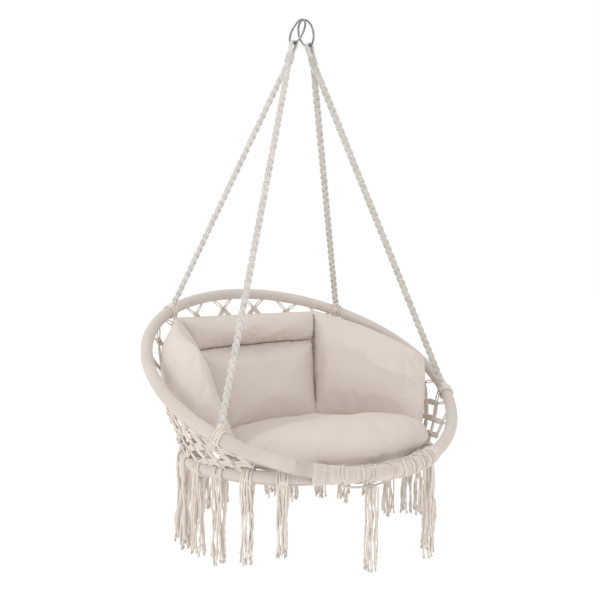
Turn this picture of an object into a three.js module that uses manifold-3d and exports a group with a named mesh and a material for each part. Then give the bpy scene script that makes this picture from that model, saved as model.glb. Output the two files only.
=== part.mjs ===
// Hanging hammock chair. A large leaning hoop and a smaller level seat hoop, both of steel tube in a
// cotton sleeve, are lashed together at the front and joined all round by a knotted cotton net with
// tassels. Four ropes run up to two steel rings, and a sewn cushion set lies in the seat.
// Millimetres, +Z up, the front towards -Y, the origin where a hook bears inside the tops of the rings.

import * as THREE from 'three';
import { mergeVertices } from 'three/addons/utils/BufferGeometryUtils.js';
import Module from 'manifold-3d';

const wasm = await Module();
wasm.setup();

// Driving sizes, in millimetres and degrees
const CLEARANCE = 0.3; // between pieces that touch
const MAIN_RADIUS = 387.5; // of the main hoop's centre line
const MAIN_DROP = 859; // of the main hoop's centre below the hook
const MAIN_FORWARD = 20; // of the main hoop's centre in front of the hook
const MAIN_TILT = 26.3; // the back of the main hoop is the high side
const SEAT_RADIUS = 300; // of the seat hoop's centre line
const SEAT_TILT = -3; // the back of the seat hoop is the low side
const TUBE_RADIUS = 11; // of both hoops' steel tube
const TUBE_WALL = 1.5;
const SLEEVE_RADIUS = 14.3; // of the cotton sleeve on both tubes
const JOINT_GAP = 0.6; // where the two ends of a tube or a sleeve meet
const HOOP_SPACING = 0.9; // between the two sleeves at the front
const HOOP_SPACING_ANGLE = -15; // of the line from the main to the seat hoop there
const RING_DIAMETER = 68; // of each steel hanging ring, outside
const RING_WIRE = 5; // its diameter
const RING_LEAN = 18; // the rings lean apart below the hook
const ROPE_DIAMETER = 13;
const HITCH_ROPE_DIAMETER = 9; // of each of the two passes over a ring
const HITCH_SIDE_CLEARANCE = 2; // lets the hitch travel round the leaning ring
const HITCH_SPREAD = 9.6; // degrees round the ring, from the middle to each pass
const NECK_DIAMETER = 17; // of the bound rope below the ring
const NECK_LENGTH = 45;
const NECK_TOP = 17; // below the centre of the ring's wire
const SEIZING_CORD = 3;
const SEIZING_TURNS = 4;
const SEIZING_GAP = 0.7; // between two turns
const KNOT_CORD = 5; // of the turns that tie a rope to the main hoop
const KNOT_TURNS = 3;
const KNOT_GAP = 0.6;
const LASHING_CORD = 3; // of the turns round both hoops at the front
const LASHING_TURNS = 34;
const LASHING_START = -118; // degrees round the main hoop
const LASHING_END = -66;
const NET_COLUMN = 15; // degrees from one tassel to the next
const NET_ROWS = 5; // of knots between the hoops
const NET_LEAST_PITCH = 21; // between two rows, so that fewer fit near the front
const NET_THICKNESS = 4;
const NET_FRONT_GAP = 45; // degrees from the middle of the front to the net's first cords
const HEAD_DROP = 25; // of the net's first knots below the main hoop's sleeve
const HEAD_LEG_WIDTH = 8; // of the doubled cords that hang the net
const SEAT_NET_SAG = 30;
const SEAT_NET_COLUMNS = 12;
const CUSHION_HEIGHT = 310; // of the back cushion above the seat hoop
const BACK_THICKNESS = 80;
const ROLL_THICKNESS = 84;
const WING_THICKNESS = 76;
const CUSHION_EDGE = 20; // thickness of every cushion at its seams
const CUSHION_DRAW_IN = 2; // how far a side is pulled in between two corners
const PAD_CROWN = 66; // height of the seat pad's top above the seat hoop
const PAD_EDGE = 36;
const FRONT_ROLL_CROWN = 94;
const FRONT_ROLL_EDGE = 42;
const PAD_UNDER_LIFT = 16; // how far a pad's underside rises towards its edges
const TASSEL_DIAMETER = 26;
const TASSEL_LENGTH = 200; // of a usual one
const TASSEL_OUTSET = 8; // of a tassel's line outside the seat hoop's centre line
const LOOSE_CORD_DIAMETER = 5; // of the cord that hangs under the lashing with a tassel on it
const LOOSE_CORD_START = -108.4; // degrees round the seat hoop
const LOOSE_CORD_END = -84.7;
const LOOSE_CORD_SAG = 7;
const LOOSE_TASSEL_GAP = 0.5; // room for the bend in the cord over the tassel
const LOOSE_TASSEL_PLACE = -94;

// The ropes' places round the main hoop, degrees from +X
const ROPE_ANGLES = { front_left: 212.5, front_right: 337.7, back_left: 127.5, back_right: 45 };

// Each tassel's place round the seat hoop, degrees from +X
const TASSEL_PLACES = [
  -50, -38, -18, -5, 9, 22, 36, 49, 63, 76, 90,
  104, 117, 131, 144, 158, 171, 185, 199, 213, 228,
];

// Each tassel's length as a share of a usual one, in the same order, and the loose tassel's
const TASSEL_LENGTH_SHARES = [
  1.2, 0.975, 0.95, 1, 1.125, 0.95, 1.025, 1, 1.025, 0.95, 1,
  0.925, 0.975, 1.025, 0.975, 1.025, 1, 0.95, 0.975, 0.925, 0.8,
];
const LOOSE_TASSEL_LENGTH_SHARE = 0.975;

// Shares of a net column or of a row's height
const KNOT_HALF_WIDTH_SHARE = 0.15;
const KNOT_HALF_HEIGHT_SHARE = 0.2;
const FIRST_ROW_MOST_SHARE = 0.25; // of the net's height, where that is less than the first knots' drop
const HEAD_LEG_SHARE = 0.213; // of a column, from a knot's middle to each cord over the hoop
const SEAT_NET_ROW_SHARES = [1, 0.8, 0.6, 0.42, 0.22]; // of the seat net's radius, the last is its centre disc
const SEAT_NET_KNOT_SHARE = 0.2;
const TASSEL_TAPER_SHARES = [0.72, 1, 1]; // of the tassel's radius, from its knot to its ends

// Cushion outlines, twice as shares of the room between the two hoops at that height, and as a share
// of the cushions' height. Each is three rows of three places: across, and from the lower edge up.
const BACK_PANEL_SHARES = [
  [[-0.515, 0.612, 0.1], [0, 0.648, 0.1], [0.53, 0.612, 0.1]],
  [[-0.568, 0.728, 0.42], [0, 0.78, 0.425], [0.585, 0.728, 0.43]],
  [[-0.59, 0.785, 0.737], [0, 0.83, 0.757], [0.61, 0.785, 0.767]],
];
const BACK_ROLL_SHARES = [
  [[-0.59, 0.784, 0.739], [0, 0.829, 0.759], [0.609, 0.784, 0.769]],
  [[-0.61, 0.772, 0.87], [0, 0.829, 0.885], [0.609, 0.776, 0.89]],
  [[-0.65, 0.745, 1], [0, 0.81, 1.01], [0.6, 0.776, 1.005]],
];
const RIGHT_WING_SHARES = [
  [[0.541, 0.624, 0.1], [0.866, 0.226, 0.1], [0.996, -0.496, 0.13]],
  [[0.578, 0.699, 0.57], [0.91, 0.27, 0.52], [0.988, -0.417, 0.45]],
  [[0.6, 0.747, 1.01], [0.903, 0.328, 0.885], [0.915, -0.363, 0.73]],
];
const LEFT_WING_SHARES = [
  [[0.526, 0.624, 0.1], [0.866, 0.226, 0.1], [0.996, -0.496, 0.13]],
  [[0.585, 0.699, 0.54], [0.97, 0.315, 0.555], [0.984, -0.322, 0.47]],
  [[0.692, 0.75, 1], [0.883, 0.26, 0.95], [0.925, -0.06, 0.862]],
];

// Plan outlines of the two seat pieces as shares of the seat hoop's radius, rows from back to front
const SEAT_PAD_SHARES = [
  [[-0.55, 0.46], [0, 0.48], [0.55, 0.46]],
  [[-0.74, 0.08], [0, 0.06], [0.74, 0.08]],
  [[-0.8, -0.27], [0, -0.2], [0.8, -0.27]],
];
const FRONT_ROLL_SHARES = [
  [[-0.8, -0.29], [0, -0.22], [0.8, -0.29]],
  [[-0.84, -0.5], [0, -0.57], [0.84, -0.5]],
  [[-0.68, -0.73], [0, -0.92], [0.68, -0.73]],
];

// Counts of faces
const HOOP_SIDES = 8;
const TUBE_SIDES = 6;
const MAIN_STEPS = 44;
const SEAT_STEPS = 36;
const WIRE_SIDES = 6;
const WIRE_STEPS = 24;
const CORD_SIDES = 5;
const ROPE_SIDES = 8;
const ROPE_STEPS = 4;
const TURN_STEPS = 10; // to one turn of a winding
const LOOSE_CORD_STEPS = 6;
const ARCH_STEPS = 8;
const CUSHION_GRID = 8;

const FULL_TURN = 2 * Math.PI;
const rad = THREE.MathUtils.degToRad;
const vec = (x, y, z) => new THREE.Vector3(x, y, z);
const UP = vec(0, 0, 1);
const ACROSS = vec(1, 0, 0);

// Finishes
const finish = (color, roughness, metalness) => new THREE.MeshStandardMaterial({ color, roughness, metalness });
const chrome = finish('#c9ccd0', 0.2, 1);
const paintedSteel = finish('#d8d4cc', 0.5, 0.2);
const cottonSleeve = finish('#e2d8cd', 0.9, 0);
const cottonCord = finish('#dfd5c8', 0.95, 0);
const canvas = finish('#d3c9c0', 0.9, 0);

const part = new THREE.Group();

// Adds one named piece to the chair
function addPiece(name, geometry, material) {
  const mesh = new THREE.Mesh(geometry, material);
  mesh.name = name;
  part.add(mesh);
}

// Turns a geometry's faces outwards where its volume comes out negative
function facingOut(positions, index) {
  const at = (i) => vec(...positions.slice(3 * i, 3 * i + 3));
  let volume = 0;
  for (let i = 0; i < index.length; i += 3) {
    volume += at(index[i]).dot(at(index[i + 1]).cross(at(index[i + 2])));
  }
  if (volume < 0) {
    index.reverse();
  }
  const geometry = new THREE.BufferGeometry();
  geometry.setAttribute('position', new THREE.Float32BufferAttribute(positions, 3));
  geometry.setIndex(index);
  return geometry;
}

// A skin over rings of points. Open ones get flat ends, a closed one runs back into its first ring.
function skin(rings, closed) {
  const sides = rings[0].length;
  const positions = rings.flat().flatMap((p) => [p.x, p.y, p.z]);
  const index = [];
  const bands = closed ? rings.length : rings.length - 1;
  for (let i = 0; i < bands; i++) {
    const next = (i + 1) % rings.length;
    for (let j = 0; j < sides; j++) {
      const k = (j + 1) % sides;
      const corners = [i * sides + j, i * sides + k, next * sides + k, next * sides + j];
      index.push(corners[0], corners[1], corners[2], corners[0], corners[2], corners[3]);
    }
  }
  if (!closed) {
    const last = (rings.length - 1) * sides;
    for (let j = 1; j < sides - 1; j++) {
      index.push(0, j + 1, j, last, last + j, last + j + 1);
    }
  }
  return facingOut(positions, index);
}

// A ring of points round a centre, in the plane of two directions
function sectionRing(centre, first, second, radius, sides) {
  return Array.from({ length: sides }, (_, j) => {
    const turn = (FULL_TURN * (j + 0.5)) / sides;
    return centre.clone().addScaledVector(first, radius * Math.cos(turn)).addScaledVector(second, radius * Math.sin(turn));
  });
}

// Rings of points square to a route, each turned as little as it can be from the last
function ringsAlong(route, radii, sides) {
  const rings = [];
  let side = null;
  route.forEach((point, i) => {
    const ahead = route[Math.min(i + 1, route.length - 1)];
    const behind = route[Math.max(i - 1, 0)];
    const along = ahead.clone().sub(behind).normalize();
    if (side === null) {
      side = Math.abs(along.x) < Math.abs(along.z) ? ACROSS.clone() : UP.clone();
    }
    side.addScaledVector(along, -side.dot(along)).normalize();
    const radius = Array.isArray(radii) ? radii[i] : radii;
    rings.push(sectionRing(point, side, along.clone().cross(side), radius, sides));
  });
  return rings;
}

// Straight ends, one cord's diameter long, on the route of a winding
function withStraightEnds(route, diameter) {
  const first = route[0].clone().sub(route[1]).setLength(diameter).add(route[0]);
  const last = route.at(-1).clone().sub(route.at(-2)).setLength(diameter).add(route.at(-1));
  return [first, ...route, last];
}

// One unbroken cord wound along a route. Prints its least gap to its own other turns.
function windingSkin(name, route, diameter) {
  const rings = ringsAlong(withStraightEnds(route, diameter), diameter / 2, CORD_SIDES);
  let gap = Infinity;
  rings.forEach((ring, i) => {
    rings.slice(i + Math.round(TURN_STEPS / 2)).forEach((other) => {
      ring.forEach((p) => other.forEach((q) => {
        gap = Math.min(gap, p.distanceTo(q));
      }));
    });
  });
  console.log(`${name}: least gap to itself ${gap.toFixed(2)} mm`);
  return skin(rings, false);
}

// Joins and cuts of closed geometries
function toSolid(geometry) {
  const bare = geometry.clone();
  bare.deleteAttribute('normal');
  bare.deleteAttribute('uv');
  const merged = mergeVertices(bare);
  const vertProperties = Float32Array.from(merged.attributes.position.array);
  const triVerts = Uint32Array.from(merged.index.array);
  return new wasm.Manifold(new wasm.Mesh({ numProp: 3, vertProperties, triVerts }));
}

function toGeometry(solid) {
  const mesh = solid.getMesh();
  const geometry = new THREE.BufferGeometry();
  geometry.setAttribute('position', new THREE.BufferAttribute(mesh.vertProperties, 3));
  geometry.setIndex(new THREE.BufferAttribute(mesh.triVerts, 1));
  return geometry;
}

// The same closed form with every point moved outwards along its normal
function grown(geometry, distance) {
  const result = geometry.clone();
  result.computeVertexNormals();
  const { position, normal } = result.attributes;
  for (let i = 0; i < position.count; i++) {
    const moved = vec().fromBufferAttribute(normal, i).multiplyScalar(distance).add(vec().fromBufferAttribute(position, i));
    position.setXYZ(i, moved.x, moved.y, moved.z);
  }
  return result;
}

// Hoops. A hoop has a centre, a radius and a tilt, and its places are counted in degrees from +X.
function makeHoop(centre, radius, tilt, steps) {
  const back = vec(0, Math.cos(rad(tilt)), Math.sin(rad(tilt)));
  return { centre, radius, back, normal: ACROSS.clone().cross(back), steps };
}

function outwards(hoop, degrees) {
  return ACROSS.clone().multiplyScalar(Math.cos(rad(degrees))).addScaledVector(hoop.back, Math.sin(rad(degrees)));
}

// A place on the line of a hoop as it is built, in straight steps from its front
function onHoop(hoop, degrees, extra = 0) {
  const step = ((degrees - FRONT) * hoop.steps) / 360;
  const before = Math.floor(step);
  const corner = (i) => outwards(hoop, FRONT + (360 * i) / hoop.steps).multiplyScalar(hoop.radius + extra);
  return corner(before).lerp(corner(before + 1), step - before).add(hoop.centre);
}

const FRONT = -90;
const BACK = 90;
const mainHoop = makeHoop(vec(0, -MAIN_FORWARD, -MAIN_DROP), MAIN_RADIUS, MAIN_TILT, MAIN_STEPS);
const hoopDistance = 2 * SLEEVE_RADIUS + HOOP_SPACING;
const spacingLine = vec(0, Math.cos(rad(HOOP_SPACING_ANGLE)), Math.sin(rad(HOOP_SPACING_ANGLE)));
const seatFront = onHoop(mainHoop, FRONT).addScaledVector(spacingLine, hoopDistance);
const seatBack = vec(0, Math.cos(rad(SEAT_TILT)), Math.sin(rad(SEAT_TILT)));
const seatCentre = seatFront.clone().addScaledVector(seatBack, SEAT_RADIUS);
const seatHoop = makeHoop(seatCentre, SEAT_RADIUS, SEAT_TILT, SEAT_STEPS);

// A pipe bent into a hoop whose two ends meet, so that its bore stays open at the joint
function hoopPipe(hoop, outer, inner, sides) {
  const gapAngle = (180 / Math.PI) * (JOINT_GAP / hoop.radius);
  const wallRings = (radius) => Array.from({ length: hoop.steps + 1 }, (_, i) => {
    const shift = (i === 0 ? gapAngle / 2 : 0) - (i === hoop.steps ? gapAngle / 2 : 0);
    const degrees = FRONT + (360 * i) / hoop.steps + shift;
    return sectionRing(onHoop(hoop, degrees), outwards(hoop, degrees), hoop.normal, radius, sides);
  });
  return skin([...wallRings(outer), ...wallRings(inner).reverse()], true);
}

function addHoop(name, hoop) {
  const bore = (TUBE_RADIUS + CLEARANCE) / Math.cos(Math.PI / HOOP_SIDES);
  addPiece(`${name}_tube`, hoopPipe(hoop, TUBE_RADIUS, TUBE_RADIUS - TUBE_WALL, TUBE_SIDES), paintedSteel);
  addPiece(`${name}_sleeve`, hoopPipe(hoop, SLEEVE_RADIUS, bore, HOOP_SIDES), cottonSleeve);
}

// Steel rings, side by side at the top and leaning apart
const wireRadius = RING_WIRE / 2;
const ringRadius = (RING_DIAMETER - RING_WIRE) / 2;

function ringPlane(side) {
  const down = vec(side * Math.sin(rad(RING_LEAN)), 0, -Math.cos(rad(RING_LEAN)));
  const top = vec(side * (wireRadius + CLEARANCE / 2), 0, wireRadius * Math.cos(rad(RING_LEAN)));
  return { down, centre: top.addScaledVector(down, ringRadius) };
}

// A place on the ring's circle, degrees from its lowest point towards the back
function onRing(ring, degrees, radius) {
  const offset = ring.down.clone().multiplyScalar(radius * Math.cos(rad(degrees)));
  offset.y += radius * Math.sin(rad(degrees));
  return offset.add(ring.centre);
}

function steelRing(ring) {
  const rings = Array.from({ length: WIRE_STEPS }, (_, i) => {
    const degrees = (360 * i) / WIRE_STEPS;
    const out = onRing(ring, degrees, 1).sub(ring.centre);
    const sideways = vec(0, 1, 0).cross(ring.down);
    return sectionRing(onRing(ring, degrees, ringRadius), out, sideways, wireRadius, WIRE_SIDES);
  });
  return skin(rings, true);
}

// One pass of rope over the ring's wire, its two legs brought together in the neck
function hitchPass(ring, degrees) {
  const ropeRadius = HITCH_ROPE_DIAMETER / 2;
  const rise = (wireRadius + CLEARANCE) / Math.cos(Math.PI / ARCH_STEPS) + ropeRadius;
  const reach = wireRadius + HITCH_SIDE_CLEARANCE + ropeRadius;
  const out = onRing(ring, degrees, 1).sub(ring.centre);
  const sideways = vec(0, 1, 0).cross(ring.down);
  const wire = onRing(ring, degrees, ringRadius);
  const foot = neckPoint(ring, NECK_TOP + HITCH_ROPE_DIAMETER);
  const arch = Array.from({ length: ARCH_STEPS + 1 }, (_, i) => {
    const turn = (Math.PI * i) / ARCH_STEPS;
    const place = wire.clone().addScaledVector(out, -rise * Math.sin(turn));
    return place.addScaledVector(sideways, reach * Math.cos(turn));
  });
  const leg = (end, sign) => end.clone().lerp(foot.clone().addScaledVector(sideways, sign * ropeRadius / 2), 0.9);
  const route = [leg(arch[0], 1), ...arch, leg(arch.at(-1), -1)];
  return skin(ringsAlong(route, ropeRadius, TUBE_SIDES), false);
}

// A place on the neck's line, below the ring's wire
function neckPoint(ring, below) {
  return onRing(ring, 0, ringRadius + below);
}

function ropeHitch(ring) {
  const neckRoute = [neckPoint(ring, NECK_TOP), neckPoint(ring, NECK_TOP + NECK_LENGTH)];
  let solid = toSolid(skin(ringsAlong(neckRoute, NECK_DIAMETER / 2, ROPE_SIDES), false));
  for (const degrees of [-HITCH_SPREAD, HITCH_SPREAD]) {
    solid = solid.add(toSolid(hitchPass(ring, degrees)));
  }
  return toGeometry(solid);
}

// The cord bound round the neck
function neckSeizing(name, ring) {
  const axis = ring.down;
  const sideways = vec(0, 1, 0).cross(axis);
  const radius = (NECK_DIAMETER / 2 + CLEARANCE + SEIZING_CORD / 2) / Math.cos(Math.PI / TURN_STEPS);
  const pitch = SEIZING_CORD + SEIZING_GAP;
  const middle = NECK_TOP + NECK_LENGTH / 2;
  const count = SEIZING_TURNS * TURN_STEPS;
  const route = Array.from({ length: count + 1 }, (_, i) => {
    const turn = (FULL_TURN * i) / TURN_STEPS;
    const centre = neckPoint(ring, middle + pitch * (i / TURN_STEPS - SEIZING_TURNS / 2));
    return centre.addScaledVector(sideways, radius * Math.cos(turn)).addScaledVector(vec(0, 1, 0), radius * Math.sin(turn));
  });
  return windingSkin(name, route, SEIZING_CORD);
}

// How far above a place on the main hoop the knot there reaches, within a rope that ends on it
function heightOfKnot(knot, foot, line, radius) {
  const { position } = knot.attributes;
  let reach = 0;
  for (let i = 0; i < position.count; i++) {
    const offset = foot.clone().sub(vec().fromBufferAttribute(position, i));
    const height = offset.dot(line);
    const aside = offset.addScaledVector(line, -height).length();
    reach = aside < radius + CLEARANCE ? Math.max(reach, height) : reach;
  }
  return reach;
}

// Ropes from the necks to the knots on the main hoop
function hangingRope(ring, degrees, towardsBack, knot) {
  const radius = ROPE_DIAMETER / 2;
  const neckEnd = neckPoint(ring, NECK_TOP + NECK_LENGTH);
  neckEnd.y += towardsBack * (radius + CLEARANCE);
  const foot = onHoop(mainHoop, degrees);
  const line = foot.clone().sub(neckEnd).normalize();
  const slant = Math.sqrt(1 - line.dot(ring.down) ** 2);
  const underNeck = Math.abs(NECK_DIAMETER / 2 - radius - CLEARANCE);
  const top = neckEnd.clone().addScaledVector(line, (CLEARANCE + underNeck * slant) / line.dot(ring.down));
  const bottom = foot.clone().addScaledVector(line, -(heightOfKnot(knot, foot, line, radius) + CLEARANCE));
  const route = Array.from({ length: ROPE_STEPS + 1 }, (_, i) => top.clone().lerp(bottom, i / ROPE_STEPS));
  return skin(ringsAlong(route, radius, ROPE_SIDES), false);
}

// The turns that tie a rope's end round the main hoop
const knotRadius = (SLEEVE_RADIUS + CLEARANCE + KNOT_CORD / 2) / Math.cos(Math.PI / TURN_STEPS);

function ropeKnot(name, degrees) {
  const pitch = (180 / Math.PI) * ((KNOT_CORD + KNOT_GAP) / MAIN_RADIUS);
  const count = KNOT_TURNS * TURN_STEPS;
  const route = Array.from({ length: count + 1 }, (_, i) => {
    const turn = (FULL_TURN * i) / TURN_STEPS;
    const place = degrees + pitch * (i / TURN_STEPS - KNOT_TURNS / 2);
    const centre = onHoop(mainHoop, place, knotRadius * Math.cos(turn));
    return centre.addScaledVector(mainHoop.normal, knotRadius * Math.sin(turn));
  });
  return windingSkin(name, route, KNOT_CORD);
}

// The seat hoop's place across from a place near the main hoop's front, as far along its own curve
function seatAngleAcross(degrees) {
  return FRONT + (degrees - FRONT) * (MAIN_RADIUS / SEAT_RADIUS);
}

// The lashing's turns run round both hoops at once, past the outer half of each
function frontLashing(name) {
  const nearest = (SLEEVE_RADIUS + CLEARANCE + LASHING_CORD / 2) / Math.cos(Math.PI / TURN_STEPS);
  const count = LASHING_TURNS * TURN_STEPS;
  const route = Array.from({ length: count + 1 }, (_, i) => {
    const turn = (FULL_TURN * i) / TURN_STEPS;
    const mainDegrees = THREE.MathUtils.lerp(LASHING_START, LASHING_END, i / count);
    const seatDegrees = seatAngleAcross(mainDegrees);
    const line = onHoop(seatHoop, seatDegrees).sub(onHoop(mainHoop, mainDegrees)).normalize();
    const [hoop, degrees] = Math.cos(turn) > 0 ? [seatHoop, seatDegrees] : [mainHoop, mainDegrees];
    const along = outwards(hoop, degrees).cross(hoop.normal);
    const square = line.clone().cross(along).normalize();
    const radius = nearest / Math.sqrt(1 - line.dot(along) ** 2);
    const place = onHoop(hoop, degrees).addScaledVector(line, radius * Math.cos(turn));
    return place.addScaledVector(square, radius * Math.sin(turn));
  });
  return windingSkin(name, route, LASHING_CORD);
}

// Nets. A net is flat polygons that share corners, given as pairs in a net's own measure, laid
// between an upper and a lower surface. Edges that belong to one polygon get a wall.
function netSkin(polygons, place) {
  const corners = new Map();
  const positions = [];
  const cornerNumber = ([u, v]) => {
    const key = `${u.toFixed(5)} ${v.toFixed(5)}`;
    if (!corners.has(key)) {
      corners.set(key, corners.size);
      for (const level of [1, -1]) {
        const p = place(u, v, level);
        positions.push(p.x, p.y, p.z);
      }
    }
    return corners.get(key);
  };
  const index = [];
  const edges = new Map();
  for (const polygon of polygons) {
    const ids = polygon.map(cornerNumber);
    for (let i = 1; i < ids.length - 1; i++) {
      index.push(2 * ids[0], 2 * ids[i], 2 * ids[i + 1]);
      index.push(2 * ids[0] + 1, 2 * ids[i + 1] + 1, 2 * ids[i] + 1);
    }
    ids.forEach((a, i) => {
      const b = ids[(i + 1) % ids.length];
      if (!edges.delete(`${b} ${a}`)) {
        edges.set(`${a} ${b}`, [a, b]);
      }
    });
  }
  for (const [a, b] of edges.values()) {
    index.push(2 * a, 2 * a + 1, 2 * b + 1, 2 * a, 2 * b + 1, 2 * b);
  }
  return facingOut(positions, index);
}

// A knot's four corners in a net's measure, anticlockwise with v downwards
function knotCorners(u, v, halfWidth, halfHeight) {
  return { left: [u - halfWidth, v], up: [u, v - halfHeight], right: [u + halfWidth, v], down: [u, v + halfHeight] };
}

// The straps that run down from a knot to the two knots of the next row
function strapsDown(knot, leftKnot, rightKnot) {
  const straps = [];
  if (rightKnot) {
    straps.push([knot.right, knot.down, rightKnot.left, rightKnot.up]);
  }
  if (leftKnot) {
    straps.push([knot.down, knot.left, leftKnot.up, leftKnot.right]);
  }
  return straps;
}

// The seat hoop's place at the foot of a column of the side net
const netFront = FRONT + NET_FRONT_GAP;
const footShare = (BACK - seatAngleAcross(netFront)) / (BACK - netFront);
const footAngle = (degrees) => BACK + (degrees - BACK) * footShare;

// How far from a hoop's centre line a cord starts that leaves its sleeve in a direction
function sleeveMargin(hoop, degrees, direction) {
  const skew = Math.abs(direction.dot(outwards(hoop, degrees).cross(hoop.normal)));
  return (SLEEVE_RADIUS + CLEARANCE + (NET_THICKNESS / 2 + HEAD_LEG_WIDTH / 2) * skew) / Math.sqrt(1 - skew ** 2);
}

// The distance between the two sleeves along a column of the side net, and the line it follows
function netLine(degrees) {
  const top = onHoop(mainHoop, degrees);
  const bottom = onHoop(seatHoop, footAngle(degrees));
  const line = bottom.clone().sub(top);
  const direction = line.clone().normalize();
  const above = sleeveMargin(mainHoop, degrees, direction);
  const below = sleeveMargin(seatHoop, footAngle(degrees), direction);
  return { start: top.addScaledVector(direction, above), direction, length: line.length() - above - below };
}

function sideNetPlace(u, v, level) {
  const { start, direction, length } = netLine(u * NET_COLUMN);
  const along = outwards(mainHoop, u * NET_COLUMN).cross(mainHoop.normal);
  const face = along.cross(direction).normalize();
  return start.addScaledVector(direction, v * length).addScaledVector(face, (level * NET_THICKNESS) / 2);
}

// The share of the net's height down to a row's knots in a column, and from one row to the next
const firstRowShare = (u) => Math.min(FIRST_ROW_MOST_SHARE, HEAD_DROP / netLine(u * NET_COLUMN).length);
const rowPitchShare = (u) =>
  Math.max((1 - firstRowShare(u)) / NET_ROWS, NET_LEAST_PITCH / netLine(u * NET_COLUMN).length);

// The part of a polygon of the side net that is above the seat hoop's sleeve, where v is 1
function aboveSeatHoop(polygon) {
  return polygon.flatMap((a, i) => {
    const b = polygon[(i + 1) % polygon.length];
    const [upper, lower] = a[1] < b[1] ? [a, b] : [b, a];
    const kept = a[1] <= 1 ? [a] : [];
    if (upper[1] >= 1 || lower[1] <= 1) {
      return kept;
    }
    const share = (1 - upper[1]) / (lower[1] - upper[1]);
    return [...kept, [THREE.MathUtils.lerp(upper[0], lower[0], share), 1]];
  });
}

// One panel of the side net, from one column to another
function sideNetPanel(firstColumn, lastColumn) {
  const polygons = [];
  const knots = [];
  const columnWidth = rad(NET_COLUMN) * SEAT_RADIUS;
  const edge = CLEARANCE / 2 / columnWidth;
  const legHalf = HEAD_LEG_WIDTH / 2 / (rad(NET_COLUMN) * MAIN_RADIUS);
  for (let row = 0; row <= NET_ROWS; row++) {
    const shift = row % 2 === 0 ? 0.5 : 0;
    const rowKnots = new Map();
    for (let u = firstColumn + shift; u <= lastColumn; u++) {
      const pitch = rowPitchShare(u);
      const level = firstRowShare(u) + pitch * row;
      const knot = knotCorners(u, level, KNOT_HALF_WIDTH_SHARE, KNOT_HALF_HEIGHT_SHARE * pitch);
      let outline = [knot.left, knot.down, knot.right, knot.up];
      if (u === firstColumn) {
        knot.up = [u + edge, knot.up[1]];
        knot.down = [u + edge, knot.down[1]];
        outline = [knot.down, knot.right, knot.up];
      }
      if (u === lastColumn) {
        knot.up = [u - edge, knot.up[1]];
        knot.down = [u - edge, knot.down[1]];
        outline = [knot.left, knot.down, knot.up];
      }
      rowKnots.set(u, knot);
      polygons.push(outline);
    }
    knots.push(rowKnots);
  }
  for (let row = 0; row < NET_ROWS; row++) {
    for (const [u, knot] of knots[row]) {
      polygons.push(...strapsDown(knot, knots[row + 1].get(u - 0.5), knots[row + 1].get(u + 0.5)));
    }
  }
  for (const [u, knot] of knots[0]) {
    const [left, right] = [u - HEAD_LEG_SHARE, u + HEAD_LEG_SHARE];
    polygons.push([knot.left, knot.up, [left + legHalf, 0], [left - legHalf, 0]]);
    polygons.push([knot.up, knot.right, [right + legHalf, 0], [right - legHalf, 0]]);
  }
  return netSkin(polygons.map(aboveSeatHoop).filter((polygon) => polygon.length > 2), sideNetPlace);
}

// The seat net, a shallow dish of knots inside the seat hoop
const seatNetRadius = SEAT_RADIUS - SLEEVE_RADIUS - CLEARANCE;
const seatLashingHalf = ((FRONT - LASHING_START) * MAIN_RADIUS) / SEAT_RADIUS + NET_COLUMN / 2;
const lashingThickness = LASHING_CORD + (SLEEVE_RADIUS + LASHING_CORD) * (1 / Math.cos(Math.PI / TURN_STEPS) - 1) + 3 * CLEARANCE;

function dishDepth(radius) {
  return SEAT_NET_SAG * (1 - (radius / seatNetRadius) ** 2);
}

function seatPlace(x, y, height) {
  const place = seatHoop.centre.clone().addScaledVector(ACROSS, x).addScaledVector(seatHoop.back, y);
  return place.addScaledVector(seatHoop.normal, height);
}

function seatNet() {
  const rows = SEAT_NET_ROW_SHARES.length - 1;
  const polygons = [];
  const knots = [];
  const wrap = (u) => (u + SEAT_NET_COLUMNS) % SEAT_NET_COLUMNS;
  for (let row = 0; row < rows; row++) {
    const shift = row % 2 === 0 ? 0 : 0.5;
    const share = SEAT_NET_ROW_SHARES[row];
    const half = SEAT_NET_KNOT_SHARE * (share - SEAT_NET_ROW_SHARES[row + 1]);
    const rowKnots = new Map();
    for (let k = 0; k < SEAT_NET_COLUMNS; k++) {
      const u = k + shift;
      const knot = knotCorners(u, -share, SEAT_NET_KNOT_SHARE, half);
      knot.left = [wrap(knot.left[0]), -share];
      rowKnots.set(u, knot);
      const last = row === rows - 1;
      polygons.push(row === 0 || last ? [knot.left, row === 0 ? knot.down : knot.right, row === 0 ? knot.right : knot.up]
        : [knot.left, knot.down, knot.right, knot.up]);
    }
    knots.push(rowKnots);
  }
  for (let row = 0; row < rows - 1; row++) {
    for (const [u, knot] of knots[row]) {
      polygons.push(...strapsDown(knot, knots[row + 1].get(wrap(u - 0.5)), knots[row + 1].get(wrap(u + 0.5))));
    }
  }
  const disc = Array.from({ length: SEAT_NET_COLUMNS }, (_, k) => [k, -SEAT_NET_ROW_SHARES[rows]]);
  for (const [u, knot] of knots[rows - 1]) {
    const before = disc[Math.floor(u)];
    const after = disc[wrap(Math.ceil(u))];
    polygons.push([knot.left, before, after, knot.right]);
  }
  polygons.push([...disc].reverse());
  return netSkin(polygons, (u, v, level) => {
    const turn = (FULL_TURN * u) / SEAT_NET_COLUMNS;
    const lashed = Math.abs(THREE.MathUtils.radToDeg(turn) - (360 + FRONT)) < seatLashingHalf;
    const radius = -v * (seatNetRadius - (lashed ? lashingThickness : 0));
    const height = (level * NET_THICKNESS) / 2 - dishDepth(radius);
    return seatPlace(radius * Math.cos(turn), radius * Math.sin(turn), height);
  });
}

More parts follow.
